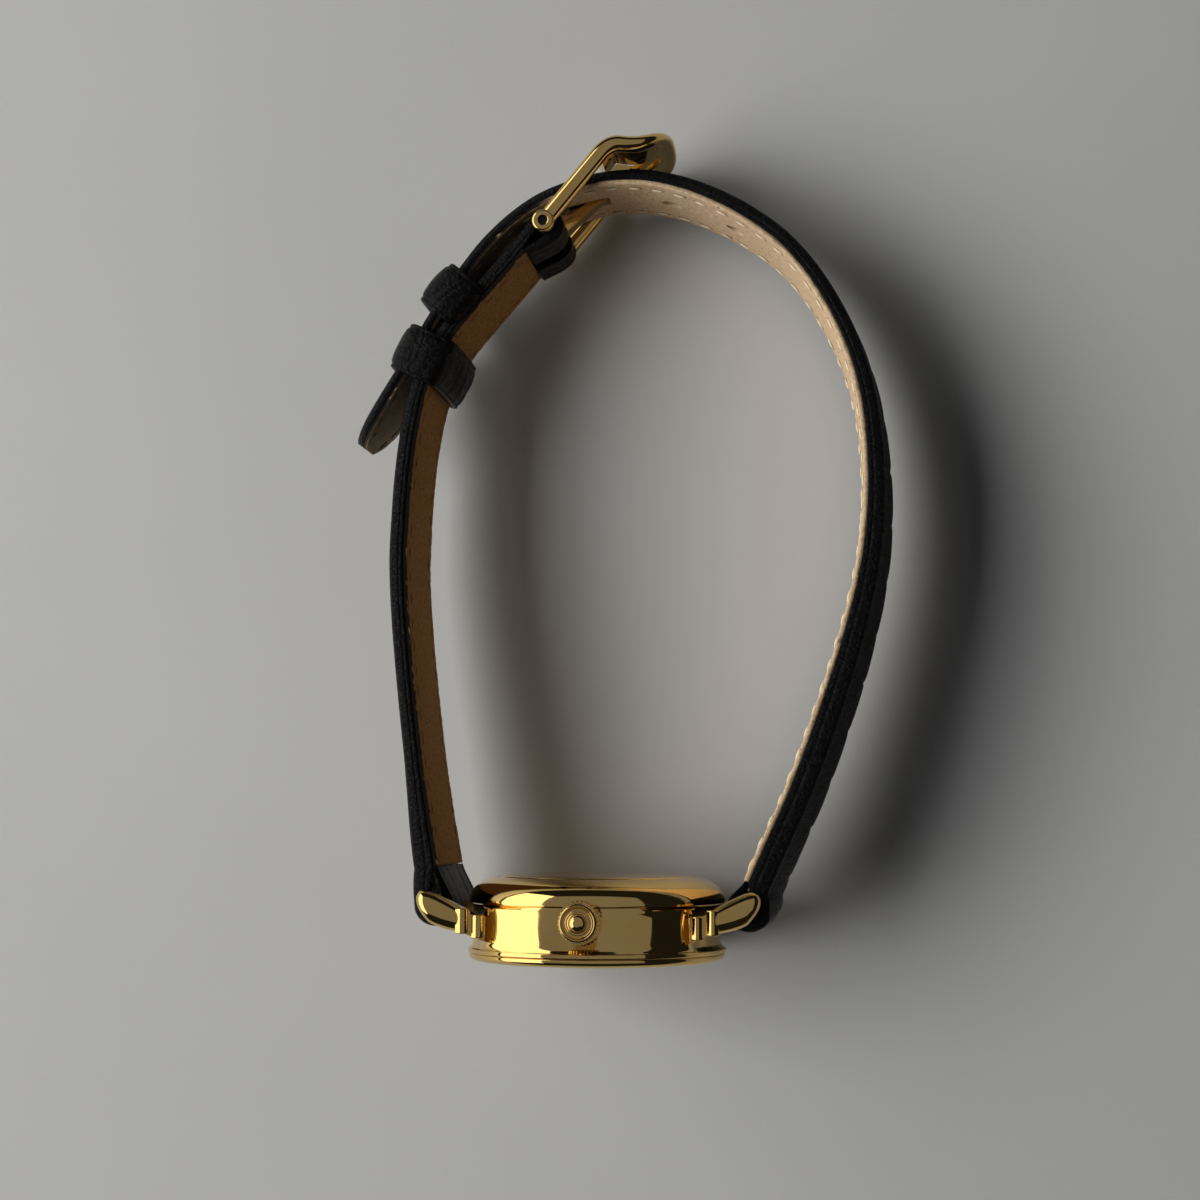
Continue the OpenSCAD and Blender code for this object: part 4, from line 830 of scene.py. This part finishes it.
# The skived ends that are tucked in behind the spring bars stay dull
run_mm = add(tree, "ShaderNodeSeparateXYZ", {"Vector": along})
sheen = add(tree, "ShaderNodeMapRange", {
    "Value": run_mm, "From Min": -4.5, "From Max": -3, "To Min": 0.02, "To Max": 0.17})
relief = add(tree, "ShaderNodeMath", {0: pores, 1: fibre}, operation="MULTIPLY")
fine_rise = add(tree, "ShaderNodeBump", {
    "Height": relief, "Strength": 0.7, "Distance": 0.08 * MM})
crease_space = add(tree, "ShaderNodeMapping", {"Vector": along, "Scale": (1.6, 0.7, 1)})
creases = add(tree, "ShaderNodeTexNoise", {
    "Vector": crease_space, "Scale": 2.2, "Detail": 4, "Distortion": 1.2})
rise = add(tree, "ShaderNodeBump", {
    "Height": creases, "Strength": 0.75, "Distance": 0.3 * MM, "Normal": fine_rise})
feed(shader, {
    "Base Color": tone.outputs[2], "Roughness": gloss, "Specular IOR Level": sheen,
    "Normal": rise})

long = strap_line(long_route, 1, bar_at, (13.95, 3.2), 151, 336, 2.33)
tip = np.clip((long.runs - long.len + 7) / 7, 0, 1)
long.half = taper(long.runs, 62) * np.maximum(0.3, np.sqrt(1 - 0.91 * tip ** 2.6))
thin = ease(long.runs, 68, 92)
long.edge = (0.35 + 0.5 * long.tuck + 1.15 * ease(long.wrap, 0.12, 0.95)
             - 0.75 * ease(long.runs, 10, 60) - 0.5 * thin)
long.crown = (1.1 * ease(long.wrap, 0.45, 1) * (1 - 0.75 * ease(long.runs, 20, 60))
              * (1 - thin))
long.emboss = (0.15 - 0.07 * thin) * (0.4 + 0.6 * long.wrap)

# Tongue holes, the second one in use
used_hole, hole_pitch = 81.6, 6.6
hole_runs = [used_hole + hole_pitch * k for k in (-2, -1, 1, 2, 3)]
tongue_half, tongue_reach, tongue_play = 0.7, 13.9, 0.227


def hole_tools():
    """Oval punches at the tongue holes, and the wedge that the tongue moves in"""
    tools = []
    for run in hole_runs:
        i = np.searchsorted(long.runs, run)
        across = long.out[i]
        tools.append(turned("punch", [(0, -3), (0.7, -3), (0.7, 3), (0, 3)], 24, (
            Matrix.Translation((*long.places[i], 0))
            @ Matrix.Rotation(math.atan2(across[1], across[0]) - math.pi / 2, 4, "Z")
            @ Matrix.Diagonal((1.3, 1, 1, 1)))))
    wedge = [buckle_at + x * heading(tongue_dir + turn)
             + y * heading(tongue_dir + turn + math.pi / 2)
             for x, y, turn in (
                 (0, -tongue_half, 0), (tongue_reach, -tongue_half, 0),
                 (tongue_reach, tongue_half, tongue_play), (0, tongue_half, tongue_play))]
    made = bmesh.new()
    skin(made, [[(*p, z) for p in wedge] for z in (-1, 1)])
    return tools + [start_piece("tongue_way", made)]


def lay_soft(piece, body):
    """Puts a leather, suede or thread piece in its place on its body"""
    piece.data.transform(to_frame)
    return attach(piece, body)


long_upper = cut(strap_upper("long_strap_upper", long, 5), *hole_tools())
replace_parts(lay_soft(long_upper, "watch"), "long_strap_leather")
short = strap_line(short_route, -1, bar_at * (-1, 1), (-13.86, 4.35), 17, -171, 3.14)
# The fold round the buckle's bar, down to its own tucked end
fold_places, fold_out = wrapped(buckle_at, 0.6, 131, -42)
flap_places = smooth_line([fold_places[-1], (-4.7, 61.6), (-5.6, 61.0), (-6.35, 60.55)], 4)[1:]
fold_places = np.concatenate([short.places[-1:], fold_places, flap_places])
fold_out = np.concatenate([short.out[-1:], fold_out, 0 * flap_places + fold_out[-1]])
fold_runs = short.len + run_along(fold_places + mid_t * fold_out)
for part, more in (("places", fold_places), ("out", fold_out), ("runs", fold_runs),
                   ("wrap", 1 + 0 * fold_runs), ("tuck", 1 + 0 * fold_runs)):
    setattr(short, part, np.concatenate([getattr(short, part), more[1:]]))
folded = ease(short.runs, short.len - 4, short.len)
flap = ease(short.runs, fold_runs[-len(flap_places) - 1], fold_runs[-1])
short.half = taper(short.runs, 60) - 0.3 * np.exp(-((short.runs - short.len - 1.9) / 1.3) ** 2)
short.edge = (0.35 + 0.45 * short.tuck + ease(short.wrap, 0.2, 1)
              - 0.55 * ease(short.runs, 3, 14) - 0.2 * folded - 0.35 * flap)
short.crown = 0.35 * ease(short.wrap, 0.45, 1) * (1 - ease(short.runs, 8, 30))
short.emboss = 0.12 * (0.4 + 0.6 * short.wrap) * (1 - 0.8 * folded)
short_upper = cut(
    strap_upper("short_strap_upper", short, 9),
    tool_box("tongue_slot", buckle_at, arm_dir, (0, 0, 0), (8, 9, 2.4)))
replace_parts(lay_soft(short_upper, "watch"), "short_strap_leather")


# ---- Strap lining
# Tan suede, thin and soft, glued and stitched under each piece with its nap outwards, and
# speckled where the strap has been worn.

def suede_finish(name, tones, wear, soil):
    """Napped suede: its tone follows the nap (0.5 mm), with specks (0.3 mm) above wear"""
    material, tree, shader = new_finish(
        name, Roughness=0.95, Sheen_Weight=0.25, Sheen_Roughness=0.5,
        Sheen_Tint=linear(tones[2]), Specular_IOR_Level=0.2)
    along = add(tree, "ShaderNodeUVMap", uv_map="leather_mm")
    nap = add(tree, "ShaderNodeTexNoise", {
        "Vector": along, "Scale": 2.2, "Detail": 8, "Roughness": 0.7})
    tone = add(tree, "ShaderNodeValToRGB", {
        "Fac": nap}, stops=list(zip((0.3, 0.5, 0.72), tones)))
    speck = add(tree, "ShaderNodeTexNoise", {"Vector": along, "Scale": 3.1, "Detail": 2})
    spot = add(tree, "ShaderNodeValToRGB", {
        "Fac": speck}, stops=[(wear, "#000000"), (wear + 0.05, "#ffffff")])
    worn = add(tree, "ShaderNodeMix", {0: spot, 6: tone, 7: linear(soil)}, data_type="RGBA")
    edge_mark = add(tree, "ShaderNodeAttribute", attribute_name="cut_edge").outputs["Fac"]
    inked = add(tree, "ShaderNodeMix", {
        0: edge_mark, 6: worn.outputs[2], 7: linear("#0b0b0e")}, data_type="RGBA")
    rise = add(tree, "ShaderNodeBump", {"Height": nap, "Strength": 0.8, "Distance": 0.2 * MM})
    feed(shader, {"Base Color": inked.outputs[2], "Normal": rise})
    return material


# Pale fuzzy suede on the long piece, and on the short one the same suede made darker and more
# orange as painted shade
pale_suede = suede_finish("tan_suede", ("#b4946e", "#d2b592", "#e6d0b2"), 0.66, "#5e432b")
shaded_copy_suede = suede_finish("tan_suede_with_painted_shade", ("#8a6236", "#a87f4d", "#c09a66"), 0.62, "#3a2510")


def strap_lining(name, suede, strap, span, inked):
    """The lining of the stations in span, with its nap, inked along its edges where inked"""
    rng = np.random.default_rng(3)
    turn = np.radians(np.linspace(0, 90, 4))
    radius = 0.16
    thick, half = strap.lining_t[span][:, None], strap.half[span][:, None] - 0.1
    face = np.linspace(-1, 1, 25)[None, :]
    corner_n = -(thick - radius + radius * np.sin(turn))
    corner_z = half - radius + radius * np.cos(turn)
    n = round_section(0 * thick, corner_n, -thick + 0 * face)
    z = round_section(half, corner_z, face * (half - radius), -1)
    n[:, 1:-1] += rng.normal(0, 0.015, n[:, 1:-1].shape)
    z[:, 1:-1] += rng.normal(0, 0.02, z[:, 1:-1].shape)
    ink = (np.abs(z) > half - 0.05) * inked[span][:, None]
    return strap_shell(name, suede, strap, span, n, z, ink)


# The short piece's lining is inked all along its edge, the long one's only on its free tail
long.lining_t = 0.45 - 0.1 * thin
short.lining_t = 0.45 + 0 * short.runs
for name, suede, strap, span, inked, tools in (
        ("long_strap_lining", pale_suede, long, long.runs > 2.4, ease(long.runs, 84, 88),
         hole_tools()),
        ("short_strap_lining", shaded_copy_suede, short,
         (short.runs > 3) & (short.runs < short.len - 2.9), 1 + 0 * short.runs, [])):
    piece = cut(strap_lining(name + "_suede", suede, strap, span, inked), *tools)
    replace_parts(lay_soft(piece, "watch"), name)


# ---- Strap stitches
# Waxed thread, about twelve stitches to the inch: black along the upper, and linen on the
# lining, natural on the long piece and darker brown on the short one. Under each long lining
# stitch a flat dark oval is painted shade round the thread.

def stitch_tree(name, *thread):
    """Stitches along each line of points, turned the way the strap faces"""
    tree, sizes = start_tree(name, Pitch=2.1, Length=1.6, Width=0.3, Height=0.2)
    line = add(tree, "GeometryNodeMeshToCurve", {"Mesh": sizes["Geometry"]})
    spaced = add(tree, "GeometryNodeResampleCurve", {
        "Curve": line, "Length": sizes["Pitch"]}, mode="LENGTH")
    bead = add(tree, "GeometryNodeMeshUVSphere", {"Segments": 10, "Rings": 6, "Radius": 0.5})
    smooth = add(tree, "GeometryNodeSetShadeSmooth", {"Geometry": bead})
    shape = add(tree, "ShaderNodeCombineXYZ", {
        "X": sizes["Length"], "Y": sizes["Width"], "Z": sizes["Height"]})
    ahead = add(tree, "FunctionNodeAlignRotationToVector", {
        "Vector": add(tree, "GeometryNodeInputTangent")}, axis="X")
    facing = add(tree, "GeometryNodeInputNamedAttribute", {
        "Name": "facing"}, data_type="FLOAT_VECTOR")
    upright = add(tree, "FunctionNodeAlignRotationToVector", {
        "Rotation": ahead, "Vector": facing}, axis="Z", pivot_axis="X")
    row = add(tree, "GeometryNodeInstanceOnPoints", {
        "Points": spaced, "Instance": smooth, "Rotation": upright, "Scale": shape})
    end_tree(tree, row, plain_finish(*thread))
    return tree


def sew(name, tree, places, normals, height, across, **sizes):
    """Two rows of stitches on a strap face, height above its stations, across its middle"""
    count = len(places)
    points = places + height[:, None] * normals
    mesh = bpy.data.meshes.new(name)
    mesh.from_pydata(
        [(*p, side * z) for side in (-1, 1) for p, z in zip(points, across)],
        [(i + k * count, i + 1 + k * count) for k in (0, 1) for i in range(count - 1)], [])
    facing = mesh.attributes.new("facing", "FLOAT_VECTOR", "POINT")
    out = np.zeros((2 * count, 3), np.float32)
    out[:, :2] = np.concatenate([normals, normals])
    facing.data.foreach_set("vector", out.ravel())
    return grow(add_object(name, mesh), tree, **sizes)


black_row, linen_row, brown_row, stitch_shade_row = (stitch_tree(*looks) for looks in (
    ("black_stitches", "waxed_black_thread", "#08080a", "#16161a", 0.08, 0.45, 0.6),
    ("linen_stitches", "natural_linen_thread", "#d3c19c", "#eaddc0", 0.08, 0.6, 0.8),
    # A darker brown linen thread, for the short piece's lining
    ("brown_stitches", "dark_brown_linen_thread", "#6d5433", "#8f7048", 0.08, 0.6, 0.8),
    # Not a thread: flat dark ovals of painted shade under the linen stitches
    ("painted_stitch_shades", "painted_stitch_shade_finish", "#1a120b", "#2c2015", 0.1, 0.8, 0.95)))
upper_inset, lining_inset = 1.15, 1.3
for name, strap, sewn, threads, width in (
        ("long", long, ((3, 1), (3.7, 1)), linen_row, 0.36),
        ("short", short, ((3, 2), (4.2, 4)), brown_row, 0.2)):
    top, under = ((strap.runs > first) & (strap.runs < strap.len - spare)
                  for first, spare in sewn)
    across = strap.half - upper_inset
    height = face_height(across[:, None], strap)[:, 0] - 0.07
    row = sew(name + "_black_stitches", black_row, strap.places[top], strap.out[top],
              height[top], across[top])
    lay_soft(row, "watch")
    below = (strap.places[under], -strap.out[under], strap.lining_t[under],
             strap.half[under] - lining_inset)
    row = sew(name + "_linen_stitches", threads, *below, Length=1.2, Width=width,
              Height=width - 0.04)
    lay_soft(row, "watch")
    if name == "long":
        # Flat dark ovals under each linen stitch: painted shade round the thread
        row = sew("long_painted_stitch_shades", stitch_shade_row, *below, Length=1.5, Width=0.5, Height=0.09)
        lay_soft(row, "watch")


# ---- Keepers
# Two loops of the same black leather, bent round the strap and glued end over end inside. The
# fixed one is trapped under the short piece by the buckle, and the free one slides.

def keeper_band(name, at, angle, n_low, n_high, half, seed):
    """Closed band round a rounded rectangle, its faces domed and a little creased"""
    rng = np.random.default_rng(seed)
    wall, corner, width, bulge = 0.5, 1.0, 4.5, 0.14
    middle = (n_low + n_high) / 2
    reach = np.array([(n_high - n_low + wall) / 2, half + wall / 2]) - corner
    line, out = [], []
    corners = ((1, 1), (-1, 1), (-1, -1), (1, -1))
    for i, sign in enumerate(corners):
        for a in np.radians(np.linspace(90 * i, 90 * i + 90, 13)):
            way = heading(a)
            line.append(reach * sign + corner * way)
            out.append(way)
        begin, stop = line[-1], reach * corners[(i + 1) % 4] + corner * way
        for t in np.linspace(0, 1, 31)[1:-1]:
            line.append(begin + t * (stop - begin) + bulge * math.sin(math.pi * t) * way)
            out.append(way)
    line, out = np.array(line), np.array(out)
    # Section across the band: inner face, rounded edge, domed outer face, rounded edge
    top = np.linspace(1, -1, 41)[1:-1]
    u = np.concatenate([np.linspace(-1, 1, 9)[:-1], [1, 1], top, [-1, -1]])
    w = np.concatenate([[-0.5] * 8, [-0.35, 0.1], 1.05 - 0.7 * np.abs(top) ** 2.6
                        - 0.2 * np.exp(-((np.abs(top) - 0.82) / 0.06) ** 2), [0.1, -0.35]])
    run = run_along(line)
    crease = np.zeros((len(line), len(u)))
    for _ in range(34):
        at_run, slant, bend = rng.uniform(0, run[-1]), rng.normal(0, 0.3), rng.normal(0, 0.3)
        off = run[:, None] - at_run - slant * u * 2 - bend * u * u
        crease -= rng.uniform(0.02, 0.07) * np.exp(-(off / rng.uniform(0.12, 0.22)) ** 2)
    crease += 0.03 * np.sin(run[:, None] * 0.9 + 2 * u + seed)
    depth = w * wall + np.where(w > 0.3, crease * (1 - np.abs(u) ** 6), 0)
    nz = line[:, None, :] + depth[:, :, None] * out[:, None, :]
    across = u * width / 2
    xy = (np.array(at) + (nz[:, :, 0] + middle)[:, :, None] * heading(angle + math.pi / 2)
          + across[None, :, None] * heading(angle))
    return leather_shell(name, leather, np.concatenate([xy, nz[:, :, 1:]], 2), across,
                         run[:, None], np.abs(u) == 1, looped=True)


tail_t = 0.75
free = keeper_band(
    "free_keeper_band", (-14.43, 50.25), math.radians(64.2), -0.72, 2.45 + tail_t, 5.5, 4)
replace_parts(lay_soft(free, "free_keeper"), "free_keeper")
fixed = keeper_band(
    "fixed_keeper_band", (-11.31, 54.94), math.radians(48.9), 0.62, 3.15 + tail_t, 5.3, 7)
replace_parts(lay_soft(fixed, "watch"), "fixed_keeper")
